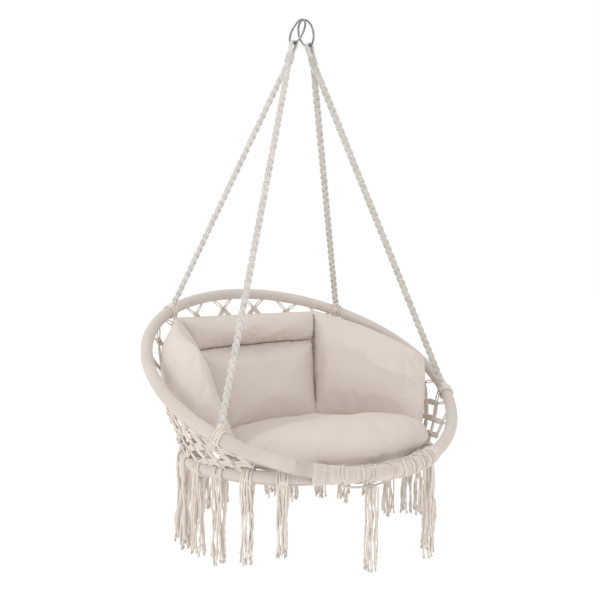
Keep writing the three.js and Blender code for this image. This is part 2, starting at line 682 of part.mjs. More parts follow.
// Cushions. A place between three by three given ones, on the curved sheet through all of them.
function sheetPoint(rows, u, v) {
  const weights = (t) => [(1 - t) * (1 - 2 * t), 4 * t * (1 - t), t * (2 * t - 1)];
  const [across, upwards] = [weights(u), weights(v)];
  const point = vec(0, 0, 0);
  rows.forEach((row, i) => row.forEach((p, j) => point.addScaledVector(p, upwards[i] * across[j])));
  return point;
}

// How full a cushion is at a place: nothing at its seams, one in its middle, with a round crown
function fullness(u, v) {
  const edge = (t) => 1 - Math.abs(2 * t - 1) ** 2.6;
  return Math.sqrt(Math.max(0, edge(u) * edge(v)));
}

// Closes a cushion's upper and lower sheets along their shared outline
function closedSheets(place) {
  const size = CUSHION_GRID + 1;
  const positions = [];
  for (const level of [1, -1]) {
    for (let j = 0; j < size; j++) {
      for (let i = 0; i < size; i++) {
        const p = place(i / CUSHION_GRID, j / CUSHION_GRID, level);
        positions.push(p.x, p.y, p.z);
      }
    }
  }
  const index = [];
  const at = (i, j, lower) => j * size + i + (lower ? size * size : 0);
  for (let j = 0; j < CUSHION_GRID; j++) {
    for (let i = 0; i < CUSHION_GRID; i++) {
      index.push(at(i, j), at(i + 1, j), at(i + 1, j + 1), at(i, j), at(i + 1, j + 1), at(i, j + 1));
      index.push(at(i, j, true), at(i + 1, j + 1, true), at(i + 1, j, true));
      index.push(at(i, j, true), at(i, j + 1, true), at(i + 1, j + 1, true));
    }
  }
  const rim = [];
  for (let k = 0; k < CUSHION_GRID; k++) {
    rim.push([[k, 0], [k + 1, 0]], [[CUSHION_GRID, k], [CUSHION_GRID, k + 1]]);
    rim.push([[CUSHION_GRID - k, CUSHION_GRID], [CUSHION_GRID - k - 1, CUSHION_GRID]]);
    rim.push([[0, CUSHION_GRID - k], [0, CUSHION_GRID - k - 1]]);
  }
  for (const [[a, b], [c, d]] of rim) {
    index.push(at(a, b), at(a, b, true), at(c, d, true), at(a, b), at(c, d, true), at(c, d));
  }
  return facingOut(positions, index);
}

// Pulls a place on a cushion's side in between two corners
function drawnIn(rows, u, v) {
  const width = rows[1][0].distanceTo(rows[1][2]);
  const height = rows[0][1].distanceTo(rows[2][1]);
  const inset = (t, length) => (CUSHION_DRAW_IN / length) * 4 * t * (1 - t);
  const pulledU = u + inset(v, width) * (1 - 2 * u);
  const pulledV = v + inset(u, height) * (1 - 2 * v);
  return [pulledU, pulledV];
}

// A place between the hoops, whose room and middle change from the seat hoop's to the main hoop's
function betweenHoops(x, y, height) {
  const taken = SLEEVE_RADIUS + WING_THICKNESS / 2;
  const room = THREE.MathUtils.lerp(SEAT_RADIUS - taken, MAIN_RADIUS - taken, height);
  const middle = THREE.MathUtils.lerp(seatHoop.centre.y, mainHoop.centre.y, height);
  return vec(x * room, middle + y * room, seatHoop.centre.z + height * CUSHION_HEIGHT);
}

// A standing cushion of a given thickness about a curved sheet
function standingCushion(shares, side, thickness) {
  const rows = shares.map((row) => row.map(([x, y, height]) => betweenHoops(side * x, y, height)));
  const step = 0.01;
  return closedSheets((u, v, level) => {
    const [a, b] = drawnIn(rows, u, v);
    const along = sheetPoint(rows, a + step, b).sub(sheetPoint(rows, a - step, b));
    const upwards = sheetPoint(rows, a, b + step).sub(sheetPoint(rows, a, b - step));
    const face = along.cross(upwards).normalize();
    const half = (CUSHION_EDGE + (thickness - CUSHION_EDGE) * fullness(u, v)) / 2;
    return sheetPoint(rows, a, b).addScaledVector(face, level * half);
  });
}

// A cushion that lies on the seat net, with its underside on the net's dish
function lyingCushion(shares, crown, edge) {
  const rows = shares.map((row) => row.map(([x, y]) => vec(x * SEAT_RADIUS, y * SEAT_RADIUS, 0)));
  const knotSpacing = (FULL_TURN * seatNetRadius) / SEAT_NET_COLUMNS / 2;
  const chordRise = (SEAT_NET_SAG * knotSpacing ** 2) / seatNetRadius ** 2;
  const flatRadius = SEAT_NET_ROW_SHARES.at(-1) * seatNetRadius;
  return closedSheets((u, v, level) => {
    const [a, b] = drawnIn(rows, u, v);
    const plan = sheetPoint(rows, a, b);
    const full = fullness(u, v);
    const radius = Math.max(Math.hypot(plan.x, plan.y), flatRadius);
    const netTop = NET_THICKNESS / 2 + chordRise * (radius / seatNetRadius) ** 2 + CLEARANCE - dishDepth(radius);
    const under = netTop + PAD_UNDER_LIFT * (1 - full);
    const height = level > 0 ? edge + (crown - edge) * full : under;
    return seatPlace(plan.x, plan.y, height);
  });
}

// Each cushion is pressed by the ones before it, which it stays clear of
function addCushions() {
  const forms = [
    ['seat_pad', lyingCushion(SEAT_PAD_SHARES, PAD_CROWN, PAD_EDGE)],
    ['seat_front_roll', lyingCushion(FRONT_ROLL_SHARES, FRONT_ROLL_CROWN, FRONT_ROLL_EDGE)],
    ['back_panel', standingCushion(BACK_PANEL_SHARES, 1, BACK_THICKNESS)],
    ['back_top_roll', standingCushion(BACK_ROLL_SHARES, 1, ROLL_THICKNESS)],
    ['right_wing', standingCushion(RIGHT_WING_SHARES, 1, WING_THICKNESS)],
    ['left_wing', standingCushion(LEFT_WING_SHARES, -1, WING_THICKNESS)],
  ];
  const earlier = [];
  for (const [name, form] of forms) {
    let solid = toSolid(form);
    for (const other of earlier) {
      solid = solid.subtract(other);
    }
    const geometry = toGeometry(solid);
    addPiece(name, geometry, canvas);
    earlier.push(toSolid(grown(form, CLEARANCE)));
  }
}

// A tassel hangs straight down from a place
function tassel(top, length) {
  const radius = TASSEL_DIAMETER / 2;
  const steps = TASSEL_TAPER_SHARES.length - 1;
  const route = TASSEL_TAPER_SHARES.map((_, i) => top.clone().addScaledVector(UP, (-length * i) / steps));
  return skin(ringsAlong(route, TASSEL_TAPER_SHARES.map((share) => share * radius), ROPE_SIDES), false);
}

// The place below the seat hoop where a tassel starts
function tasselTop(degrees) {
  const top = onHoop(seatHoop, degrees, TASSEL_OUTSET);
  const lean = Math.sin(rad(Math.abs(SEAT_TILT)));
  const topRadius = (TASSEL_DIAMETER / 2) * TASSEL_TAPER_SHARES[0];
  return top.addScaledVector(UP, -(SLEEVE_RADIUS * Math.cos(Math.PI / HOOP_SIDES) + CLEARANCE + topRadius * lean));
}

// The loose cord's line under the lashing
const loosePlace = (degrees) => {
  const share = (degrees - LOOSE_CORD_START) / (LOOSE_CORD_END - LOOSE_CORD_START);
  const lashed = (SLEEVE_RADIUS + CLEARANCE + LASHING_CORD) / Math.cos(Math.PI / TURN_STEPS);
  const drop = lashed + CLEARANCE + LOOSE_CORD_DIAMETER / 2 + LOOSE_CORD_SAG * 4 * share * (1 - share);
  return onHoop(seatHoop, degrees).addScaledVector(UP, -drop);
};

function looseCord() {
  const places = Array.from({ length: LOOSE_CORD_STEPS + 1 }, (_, i) => {
    return loosePlace(LOOSE_CORD_START + ((LOOSE_CORD_END - LOOSE_CORD_START) * i) / LOOSE_CORD_STEPS);
  });
  return skin(ringsAlong(places, LOOSE_CORD_DIAMETER / 2, ROPE_SIDES), false);
}

for (const [name, side] of [['left', -1], ['right', 1]]) {
  const ring = ringPlane(side);
  addPiece(`steel_ring_${name}`, steelRing(ring), chrome);
  addPiece(`rope_hitch_${name}`, ropeHitch(ring), cottonCord);
  addPiece(`neck_seizing_${name}`, neckSeizing(`neck_seizing_${name}`, ring), cottonCord);
  for (const [place, towardsBack] of [['front', -1], ['back', 1]]) {
    const degrees = ROPE_ANGLES[`${place}_${name}`];
    const knotName = `rope_knot_${place}_${name}`;
    const knot = ropeKnot(knotName, degrees);
    addPiece(`rope_${place}_${name}`, hangingRope(ring, degrees, towardsBack, knot), cottonCord);
    addPiece(knotName, knot, cottonCord);
  }
}
addHoop('main_hoop', mainHoop);
addHoop('seat_hoop', seatHoop);
addPiece('front_lashing', frontLashing('front_lashing'), cottonCord);
const firstColumn = (FRONT + NET_FRONT_GAP) / NET_COLUMN;
const panelNames = ['net_right_front', 'net_right', 'net_right_back', 'net_left_back', 'net_left', 'net_left_front'];
const panelColumns = (360 - 2 * NET_FRONT_GAP) / NET_COLUMN / panelNames.length;
panelNames.forEach((name, i) => {
  const first = firstColumn + i * panelColumns;
  addPiece(name, sideNetPanel(first, first + panelColumns), cottonCord);
});
addPiece('seat_net', seatNet(), cottonCord);
addCushions();
TASSEL_PLACES.forEach((degrees, i) => {
  const length = TASSEL_LENGTH * TASSEL_LENGTH_SHARES[i];
  addPiece(`tassel_${String(i + 1).padStart(2, '0')}`, tassel(tasselTop(degrees), length), cottonCord);
});
const looseTasselTop = loosePlace(LOOSE_TASSEL_PLACE).addScaledVector(UP, -(LOOSE_CORD_DIAMETER / 2 + LOOSE_TASSEL_GAP));
addPiece('loose_cord', looseCord(), cottonCord);
addPiece('loose_tassel', tassel(looseTasselTop, TASSEL_LENGTH * LOOSE_TASSEL_LENGTH_SHARE), cottonCord);

export default part;
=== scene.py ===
import logging
import math
from dataclasses import dataclass, field
from enum import Enum
from typing import Callable

import bpy
import numpy as np
from mathutils import Matrix, Vector
from mathutils.bvhtree import BVHTree


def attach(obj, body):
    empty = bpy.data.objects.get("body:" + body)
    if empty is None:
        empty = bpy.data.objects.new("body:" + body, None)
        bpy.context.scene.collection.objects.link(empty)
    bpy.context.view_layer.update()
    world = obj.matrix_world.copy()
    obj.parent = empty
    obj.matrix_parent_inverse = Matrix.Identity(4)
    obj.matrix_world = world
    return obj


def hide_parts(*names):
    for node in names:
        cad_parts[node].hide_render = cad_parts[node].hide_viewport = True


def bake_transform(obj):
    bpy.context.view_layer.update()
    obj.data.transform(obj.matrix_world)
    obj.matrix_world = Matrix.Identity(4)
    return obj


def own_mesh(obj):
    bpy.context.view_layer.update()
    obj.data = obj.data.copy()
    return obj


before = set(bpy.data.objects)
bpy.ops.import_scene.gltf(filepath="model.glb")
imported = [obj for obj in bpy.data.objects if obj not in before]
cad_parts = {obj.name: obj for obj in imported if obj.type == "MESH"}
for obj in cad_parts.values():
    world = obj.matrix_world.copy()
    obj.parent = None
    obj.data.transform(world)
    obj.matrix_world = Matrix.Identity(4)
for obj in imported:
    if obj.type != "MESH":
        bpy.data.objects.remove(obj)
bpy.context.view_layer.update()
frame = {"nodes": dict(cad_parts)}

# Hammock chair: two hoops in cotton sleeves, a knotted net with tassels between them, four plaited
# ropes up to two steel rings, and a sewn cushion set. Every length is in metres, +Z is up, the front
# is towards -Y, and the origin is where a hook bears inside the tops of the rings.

LOG = logging.getLogger("hammock_chair")
Array = np.ndarray
Placing = Callable[[Array], tuple[Array, Array]]

FRONT = -90.0  # degrees round a hoop
BACK = 90.0
ACROSS = np.array([1.0, 0.0, 0.0])  # to the chair's right
REARWARD = np.array([0.0, 1.0, 0.0])
DOWN = np.array([0.0, 0.0, -1.0])
CORD_SIDES = 6
DOME_STEPS = np.array([1.0, 0.87, 0.5])  # of a cord's radius, past its end
DOME_WIDTHS = np.array([0.06, 0.5, 0.87])  # of a cord's radius


class Slot(Enum):
    """The record's material slots, one passed with each piece made here."""

    RINGS = "ring_chrome"
    SLEEVE = "cotton_sleeve"
    CORD = "cotton_cord"
    CANVAS = "cushion_canvas"


class Body(Enum):
    """The bodies that pieces ride on."""

    RINGS = "rings"
    CHAIR = "chair"
    SEAT = "seat"
    CUSHION = "cushion"


# ---------------------------------------------------------------- arrays


def unit(vectors: Array) -> Array:
    """Vectors divided by their own lengths."""
    return vectors / np.maximum(np.linalg.norm(vectors, axis=-1, keepdims=True), 1e-12)


def smooth(share: Array) -> Array:
    """The cubic that runs level out of 0 and level into 1."""
    share = np.clip(share, 0.0, 1.0)
    return share * share * (3 - 2 * share)


def soft_field(points: Array, wavelength: float, seed: int, waves: int = 8) -> Array:
    """A smooth random field: sine waves in seeded random directions, summed over the root of their number.

    Args:
        points: Places, with their coordinates last.
        wavelength: The usual distance from crest to crest.
        seed: The field's own number.
        waves: How many sine waves are added.

    Returns:
        One value for each place, mostly between -1 and 1.
    """
    rng = np.random.default_rng(seed)
    directions = unit(rng.normal(size=(waves, points.shape[-1])))
    rates = 2 * np.pi / (wavelength * rng.uniform(0.7, 1.5, waves))
    phases = rng.uniform(0, 2 * np.pi, waves)
    return np.sin(points @ (directions * rates[:, None]).T + phases).sum(-1) / math.sqrt(waves)


def circle(count: int) -> Array:
    """Angles evenly round a circle, in radians."""
    return 2 * np.pi * np.arange(count) / count


def distance(first: Array, second: Array) -> float:
    """The distance between two places."""
    return float(np.linalg.norm(first - second))


def steps_of(line: Array) -> Array:
    """The distance from each place of a line to the next."""
    return np.linalg.norm(np.diff(line, axis=0), axis=1)


# ---------------------------------------------------------------- surfaces


@dataclass
class Surface:
    """Closed skins as arrays: places, four-sided faces with a UV for each corner, and three-sided faces."""

    points: Array
    quads: Array
    quad_uv: Array
    triangles: Array = field(default_factory=lambda: np.zeros((0, 3), int))


def joined(surfaces: list[Surface]) -> Surface:
    """Several surfaces as one, each keeping its own skins."""
    starts = np.cumsum([0] + [len(s.points) for s in surfaces[:-1]])
    return Surface(
        np.concatenate([s.points for s in surfaces]),
        np.concatenate([s.quads + n for s, n in zip(surfaces, starts)]),
        np.concatenate([s.quad_uv for s in surfaces]),
        np.concatenate([s.triangles + n for s, n in zip(surfaces, starts)]),
    )


def cells(rows: int, columns: int, other_way: bool = False) -> list[tuple[Array, Array]]:
    """The corners of each cell of a grid, as rows and columns, gone round either way from the first."""
    a, b = np.meshgrid(np.arange(rows), np.arange(columns), indexing="ij")
    corners = [(a, b), (a, b + 1), (a + 1, b + 1), (a + 1, b)]
    return corners[:1] + corners[:0:-1] if other_way else corners


def tubes(paths: Array, radii: Array | float, upright: Array, sides: int = CORD_SIDES, closed: bool = False,
          domed: bool = True) -> Surface:
    """Cords along paths: at each station a ring of points, a radius away from it and square to the path.

    The ring's first direction is square to the path and to upright. Open cords end in a dome of three
    shrinking rings, or flat, and closed ones run back into their first ring.

    Args:
        paths: (cords, stations, 3) places.
        radii: One radius, or one for each station of each cord.
        upright: A direction that no path runs along, or one for each station.
        sides: Points to a ring.
        closed: Whether each path is a loop.
        domed: Whether an open end is a dome.

    Returns:
        All the cords as one surface, U along them in metres and V round them from 0 to 1.
    """
    paths = np.asarray(paths, float)
    if paths.ndim == 2:
        paths = paths[None]
    cords, stations = paths.shape[:2]
    radii = np.broadcast_to(np.asarray(radii, float), (cords, stations))
    if closed:
        along = unit(np.roll(paths, -1, axis=1) - np.roll(paths, 1, axis=1))
    else:
        along = unit(np.gradient(paths, axis=1))
    first = unit(np.cross(np.broadcast_to(upright, paths.shape), along))
    second = np.cross(along, first)
    if domed and not closed:
        extra = len(DOME_STEPS)
        before = paths[:, :1] - along[:, :1] * (radii[:, :1] * DOME_STEPS)[..., None]
        after = paths[:, -1:] + along[:, -1:] * (radii[:, -1:] * DOME_STEPS[::-1])[..., None]
        paths = np.concatenate([before, paths, after], axis=1)
        ends = radii[:, :1] * DOME_WIDTHS, radii[:, -1:] * DOME_WIDTHS[::-1]
        radii = np.concatenate([ends[0], radii, ends[1]], axis=1)
        first, second = (np.pad(d, ((0, 0), (extra, extra), (0, 0)), mode="edge") for d in (first, second))
        stations += 2 * extra
    turn = circle(sides)
    spokes = first[:, :, None] * np.cos(turn)[:, None] + second[:, :, None] * np.sin(turn)[:, None]
    points = paths[:, :, None] + spokes * radii[:, :, None, None]
    steps = np.linalg.norm(np.diff(paths, axis=1, append=paths[:, :1]), axis=-1)
    travelled = np.concatenate([np.zeros((cords, 1)), np.cumsum(steps, axis=1)], axis=1)
    cord = np.arange(cords)[:, None, None]
    corners = cells(stations if closed else stations - 1, sides)
    quads = np.stack([(cord * stations + i % stations) * sides + j % sides for i, j in corners], axis=-1)
    uv = [np.stack(np.broadcast_arrays(travelled[cord, i], j / sides), axis=-1) for i, j in corners]
    surface = Surface(points.reshape(-1, 3), quads.reshape(-1, 4), np.stack(uv, axis=-2).reshape(-1, 4, 2))
    if not closed:
        fan = np.stack([np.zeros(sides - 2, int), np.arange(2, sides), np.arange(1, sides - 1)], axis=-1)
        start = cord * stations * sides + fan
        end = (cord * stations + stations - 1) * sides + fan[:, ::-1]
        surface.triangles = np.concatenate([start.reshape(-1, 3), end.reshape(-1, 3)])
    return surface


def make_piece(name: str, surface: Surface, finish: "Finish", slot: Slot, body: Body | None = None,
               *nodes: str) -> bpy.types.Object:
    """One named object at the origin from a surface, smooth and dressed.

    Args:
        name: The object's name.
        surface: Its skins.
        finish: Its material.
        slot: The record's slot that the material stands for. Not used.
        body: The body that it rides on, unless the caller sees to that.
        nodes: The CAD nodes that it stands for.

    Returns:
        The object, linked to the scene.
    """
    mesh = bpy.data.meshes.new(name)
    mesh.vertices.add(len(surface.points))
    mesh.vertices.foreach_set("co", surface.points.astype(np.float32).ravel())
    loops = np.concatenate([surface.quads.ravel(), surface.triangles.ravel()])
    mesh.loops.add(len(loops))
    mesh.loops.foreach_set("vertex_index", loops.astype(np.int32))
    count = len(surface.quads)
    starts = np.concatenate([4 * np.arange(count), 4 * count + 3 * np.arange(len(surface.triangles))])
    mesh.polygons.add(len(starts))
    mesh.polygons.foreach_set("loop_start", starts.astype(np.int32))
    mesh.polygons.foreach_set("use_smooth", np.ones(len(starts), bool))
    layer = mesh.uv_layers.new(name="UVMap")
    uv = np.concatenate([surface.quad_uv.reshape(-1, 2), np.zeros((surface.triangles.size, 2))])
    layer.data.foreach_set("uv", uv.astype(np.float32).ravel())
    mesh.update(calc_edges=True)
    mesh.materials.append(finish.material())
    piece = bpy.data.objects.new(name, mesh)
    bpy.context.scene.collection.objects.link(piece)
    if body:
        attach(piece, body.value)
    if nodes:
        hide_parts(*nodes)
    LOG.info("%s: %d faces", name, len(starts))
    return piece


def blend_in_fold(piece: bpy.types.Object, start: Array, end: Array) -> None:
    """Bakes a piece's placing into its mesh."""
    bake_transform(piece)


# ---------------------------------------------------------------- finishes


class NodeSheet:
    """Adds nodes to one material and joins them."""

    def __init__(self, name: str) -> None:
        """Starts a material with a principled surface on it, and the places that its textures read."""
        self.material = bpy.data.materials.new(name)
        self.material.use_nodes = True
        self.tree = self.material.node_tree
        self.surface = self.tree.nodes["Principled BSDF"]
        place = self.add("ShaderNodeTexCoord")
        self.solid, self.uv = place.outputs["Object"], place.outputs["UV"]

    def join(self, node: bpy.types.Node, inputs: dict) -> None:
        """Sets a node's inputs, each to a value or to a socket that is joined to it."""
        for key, value in inputs.items():
            if isinstance(value, bpy.types.NodeSocket):
                self.tree.links.new(value, node.inputs[key])
            else:
                node.inputs[key].default_value = value

    def add(self, kind: str, inputs: dict | None = None, **settings: object) -> bpy.types.Node:
        """Adds a node with its settings and inputs."""
        node = self.tree.nodes.new(kind)
        for key, value in settings.items():
            setattr(node, key, value)
        self.join(node, inputs or {})
        return node

    def maths(self, operation: str, *values: object) -> bpy.types.NodeSocket:
        """The result of one sum on sockets or numbers."""
        return self.add("ShaderNodeMath", dict(enumerate(values)), operation=operation).outputs[0]

    def scaled(self, value: object, by: float, base: object = 0.0) -> bpy.types.NodeSocket:
        """A value times a number, plus a number or another value."""
        return self.maths("MULTIPLY_ADD", value, by, base)

    def split_uv(self) -> tuple[bpy.types.NodeSocket, bpy.types.NodeSocket]:
        """U and V apart."""
        split = self.add("ShaderNodeSeparateXYZ", {"Vector": self.uv})
        return split.outputs[0], split.outputs[1]

    def blend_colours(self, share: object, low: tuple, high: tuple) -> bpy.types.NodeSocket:
        """A colour between two, by a share from 0 to 1."""
        inputs = {0: share, 6: (*low, 1), 7: (*high, 1)}
        return self.add("ShaderNodeMix", inputs, data_type="RGBA").outputs[2]

    def noise(self, scale: float, detail: float = 3.0,
              vector: bpy.types.NodeSocket | None = None) -> bpy.types.NodeSocket:
        """Fractal noise of a scale, in crests to the metre, over the object or a given vector."""
        place = self.solid if vector is None else vector
        inputs = {"Vector": place, "Scale": scale, "Detail": detail, "Roughness": 0.55}
        return self.add("ShaderNodeTexNoise", inputs).outputs["Fac"]

    def bump(self, height: bpy.types.NodeSocket, depth: float, strength: float,
             under: bpy.types.NodeSocket | None = None) -> bpy.types.NodeSocket:
        """A bumped normal from a height of 0 to 1, over another bump if one is given."""
        inputs = {"Height": height, "Distance": depth, "Strength": strength}
        if under is not None:
            inputs["Normal"] = under
        return self.add("ShaderNodeBump", inputs).outputs["Normal"]

    def dress(self, colour: object, roughness: object, normal: object,
              **more: object) -> bpy.types.Material:
        """Joins up the surface, with more of its inputs by name, and returns the finished material."""
        named = {key.replace("_", " ").title(): value for key, value in more.items()}
        self.join(self.surface, {"Base Color": colour, "Roughness": roughness, "Normal": normal, **named})
        return self.material

    def dress_cloth(self, colour: object, roughness: object, normal: object, sheen: float,
                    sheen_roughness: float) -> bpy.types.Material:
        """Joins up a dull surface with the sheen of loose fibres."""
        self.join(self.surface, {"Specular IOR Level": 0.25})
        return self.dress(colour, roughness, normal, sheen_weight=sheen, sheen_roughness=sheen_roughness)


@dataclass(frozen=True)
class Finish:
    """A finish with a name, made once and shared."""

    name: str

    def material(self) -> bpy.types.Material:
        """The finish's material, built the first time that a piece asks for it."""
        return bpy.data.materials.get(self.name) or self.build(NodeSheet(self.name))

    def build(self, sheet: NodeSheet) -> bpy.types.Material:
        """Fills the material. Each kind of finish has its own."""
        raise NotImplementedError


@dataclass(frozen=True)
class TwistedCotton(Finish):
    """Cotton cord: strands that run round it at a slant, painted shade in the hollows between them, fuzz,
    and a tone that drifts along it.

    The strands are a sine of U times their rate plus whole turns of V.
    """

    light: tuple
    dark: tuple
    pitch: float
    strands: int
    depth: float

    def build(self, sheet: NodeSheet) -> bpy.types.Material:
        """Paints shade into the hollows between strands by colouring them darker, and bumps strands and
        fuzz.
        """
        u, v = sheet.split_uv()
        turns = sheet.scaled(u, self.strands / self.pitch, sheet.scaled(v, float(self.strands)))
        strand = sheet.scaled(sheet.maths("SINE", sheet.scaled(turns, 2 * math.pi)), 0.5, 0.5)
        fuzz = sheet.noise(1500.0, 4.0)
        # The strand sine darkens the colour in the hollows between strands: painted shade, mixed with a slow
        # random tone along the cord.
        mixed = sheet.scaled(strand, 0.45, sheet.scaled(sheet.noise(38.0), 0.75))
        return sheet.dress_cloth(
            sheet.blend_colours(mixed, self.dark, self.light),
            sheet.scaled(fuzz, 0.12, 0.84),
            sheet.bump(fuzz, 0.0004, 0.35, sheet.bump(strand, self.depth, 0.8)),
            0.25, 0.6,
        )


@dataclass(frozen=True)
class KnittedSleeve(Finish):
    """The hoops' sleeve: a fine knit of two crossing slants, a little painted shade in its hollows, and a
    tone that drifts along the hoop.
    """

    light: tuple
    dark: tuple
    rib: float
    round_ribs: int

    def build(self, sheet: NodeSheet) -> bpy.types.Material:
        """Bumps the product of two crossing sines over a slow unevenness, and darkens the colour a little
        where it is low: painted shade.
        """
        u, v = sheet.split_uv()
        along = sheet.scaled(u, 2 * math.pi / self.rib)
        about = sheet.scaled(v, 2 * math.pi * self.round_ribs)
        slants = [sheet.maths("SINE", sheet.maths(way, along, about)) for way in ("ADD", "SUBTRACT")]
        knit = sheet.scaled(sheet.maths("MULTIPLY", *slants), 0.5, 0.5)
        fuzz = sheet.noise(1200.0, 4.0)
        # The knit term darkens the colour in the knit's hollows a little: painted shade, over a slow random
        # tone.
        mixed = sheet.scaled(knit, 0.2, sheet.scaled(sheet.noise(14.0), 0.9))
        return sheet.dress_cloth(
            sheet.blend_colours(mixed, self.dark, self.light),
            sheet.scaled(fuzz, 0.1, 0.85),
            sheet.bump(fuzz, 0.0003, 0.3, sheet.bump(knit, 0.0005, 0.6)),
            0.2, 0.6,
        )


@dataclass(frozen=True)
class WovenCanvas(Finish):
    """The cushions' canvas: crossing threads with slubs, soft creases and shade that drifts in patches."""

    light: tuple
    dark: tuple
    thread: float

    def build(self, sheet: NodeSheet) -> bpy.types.Material:
        """Bumps a basket of two sines of UV, slubs stretched along each thread, and broad rumples."""
        rate = 2 * math.pi / self.thread
        threads = [sheet.maths("SINE", sheet.scaled(way, rate)) for way in sheet.split_uv()]
        basket = sheet.scaled(sheet.maths("MULTIPLY", *threads), 0.5, 0.5)
        slubs = []
        for stretch in ((60.0, 900.0, 1.0), (900.0, 60.0, 1.0)):
            mapped = sheet.add("ShaderNodeMapping", {"Vector": sheet.uv, "Scale": stretch})
            slubs.append(sheet.noise(1.0, 2.0, mapped.outputs[0]))
        slub = sheet.scaled(sheet.maths("ADD", *slubs), 0.5)
        mixed = sheet.scaled(slub, 0.5, sheet.scaled(sheet.noise(9.0, 2.0), 0.5))
        rumpled = sheet.bump(sheet.noise(28.0), 0.003, 0.35)
        return sheet.dress_cloth(
            sheet.blend_colours(mixed, self.dark, self.light),
            sheet.scaled(slub, 0.12, 0.82),
            sheet.bump(basket, 0.0003, 0.35, sheet.bump(slub, 0.0004, 0.4, rumpled)),
            0.2, 0.55,
        )


@dataclass(frozen=True)
class PolishedSteel(Finish):
    """Bare plated steel: a mirror that handling has dulled in patches, with fine rubbing marks."""

    colour: tuple
    smoothness: float

    def build(self, sheet: NodeSheet) -> bpy.types.Material:
        """Drives colour and roughness from smudges, and bumps a fine noise for the rubbing marks."""
        smudge = sheet.noise(90.0)
        colour = sheet.blend_colours(smudge, tuple(0.8 * c for c in self.colour), self.colour)
        rubbed = sheet.bump(sheet.noise(1800.0, 4.0), 0.0002, 0.15)
        return sheet.dress(colour, sheet.scaled(smudge, 0.16, self.smoothness), rubbed, metallic=1.0)


@dataclass(frozen=True)
class PowderCoat(Finish):
    """The hoops' tubes: coated steel with orange peel."""

    light: tuple
    dark: tuple

    def build(self, sheet: NodeSheet) -> bpy.types.Material:
        """Bumps a fine noise and lets a slow one change the colour a little."""
        colour = sheet.blend_colours(sheet.noise(20.0), self.dark, self.light)
        return sheet.dress(colour, 0.45, sheet.bump(sheet.noise(700.0, 2.0), 0.0002, 0.3))


@dataclass(frozen=True)
class StudioPaper(Finish):
    """The floor's seamless paper, with a faint grain, lit a little from below."""

    colour: tuple
    lit_from_below: float

    def build(self, sheet: NodeSheet) -> bpy.types.Material:
        """Mixes two near colours by a slow noise."""
        colour = sheet.blend_colours(sheet.noise(3.0), tuple(0.985 * c for c in self.colour), self.colour)
        sheet.join(sheet.surface, {
            "Base Color": colour, "Roughness": 0.9,
            "Emission Color": (1.0, 1.0, 1.0, 1.0), "Emission Strength": self.lit_from_below,
        })
        return sheet.material


ROPE_COTTON = TwistedCotton("rope_cotton", (0.76, 0.722, 0.675), (0.46, 0.43, 0.392), 0.011, 2, 0.0008)
CORD_COTTON = TwistedCotton("cord_cotton", (0.86, 0.78, 0.705), (0.56, 0.49, 0.43), 0.009, 2, 0.0006)
SLEEVE_COTTON = KnittedSleeve("sleeve_cotton", (0.67, 0.60, 0.55), (0.53, 0.465, 0.415), 0.0024, 30)
CUSHION_CANVAS = WovenCanvas("cushion_canvas", (0.63, 0.56, 0.51), (0.52, 0.455, 0.41), 0.0013)
# The seam thread's dark colour is painted shade: it stands for the shadow down in the cushions' creases,
# besides the stitches themselves.
THREAD_DARKENED_AS_CREASE_SHADE = TwistedCotton("thread_darkened_as_crease_shade", (0.30, 0.255, 0.22), (0.18, 0.15, 0.125), 0.003, 2, 0.0002)
RING_STEEL = PolishedSteel("ring_steel", (0.30, 0.305, 0.315), 0.14)
TUBE_COAT = PowderCoat("tube_coat", (0.68, 0.65, 0.6), (0.6, 0.57, 0.52))
PAPER = StudioPaper("studio_paper", (0.93, 0.93, 0.93), 0.24)


# ---------------------------------------------------------------- hoops


@dataclass(frozen=True)
class Hoop:
    """A hoop's centre line: a circle whose plane tilts up towards the back. Degrees count from +X."""

    centre: tuple[float, float, float]
    radius: float
    tilt: float

    @property
    def back(self) -> Array:
        """The direction in the hoop's plane towards its back."""
        return np.array([0.0, math.cos(math.radians(self.tilt)), math.sin(math.radians(self.tilt))])

    @property
    def normal(self) -> Array:
        """The direction square to the hoop's plane, upwards."""
        return np.array([0.0, -math.sin(math.radians(self.tilt)), math.cos(math.radians(self.tilt))])

    def outwards(self, degrees: Array) -> Array:
        """The direction from the centre to a place on the hoop."""
        turn = np.radians(np.asarray(degrees, float))[..., None]
        return np.cos(turn) * ACROSS + np.sin(turn) * self.back

    def along(self, degrees: Array) -> Array:
        """The direction in which the degrees grow."""
        return self.outwards(np.asarray(degrees, float) + 90.0)

    def place(self, degrees: Array, out: Array | float = 0.0, up: Array | float = 0.0) -> Array:
        """A place on the hoop, moved outwards and along its normal."""
        out = self.radius + np.asarray(out, float)[..., None]
        up = np.asarray(up, float)[..., None]
        return np.array(self.centre) + self.outwards(degrees) * out + self.normal * up

    def about(self, degrees: Array, turn: Array, radius: Array | float) -> Array:
        """A place a radius off the hoop's line, at an angle of turn from outwards towards its normal."""
        return self.place(degrees, radius * np.cos(turn), radius * np.sin(turn))


MAIN = Hoop((0.0, -0.020, -0.859), 0.3875, 26.3)
SEAT = Hoop((0.0, -0.03931, -1.05402), 0.300, -3.0)
SLEEVE_RADIUS = 0.0143
TASSEL_OUTSET = 0.008
TASSEL_DROP = 0.0140  # of a tassel's top below the seat hoop's centre line


def along_seat(degrees: Array) -> Array:
    """The seat hoop's place as far along its own curve from the front as a place on the main hoop."""
    return FRONT + (np.asarray(degrees, float) - FRONT) * (MAIN.radius / SEAT.radius)


def nearest_on_seat(degrees: Array) -> Array:
    """The seat hoop's place nearest to a place on the main hoop, from its bearing at the seat's centre."""
    place = MAIN.place(degrees) - np.array(SEAT.centre)
    return np.degrees(np.arctan2(place @ SEAT.back, place[..., 0]))


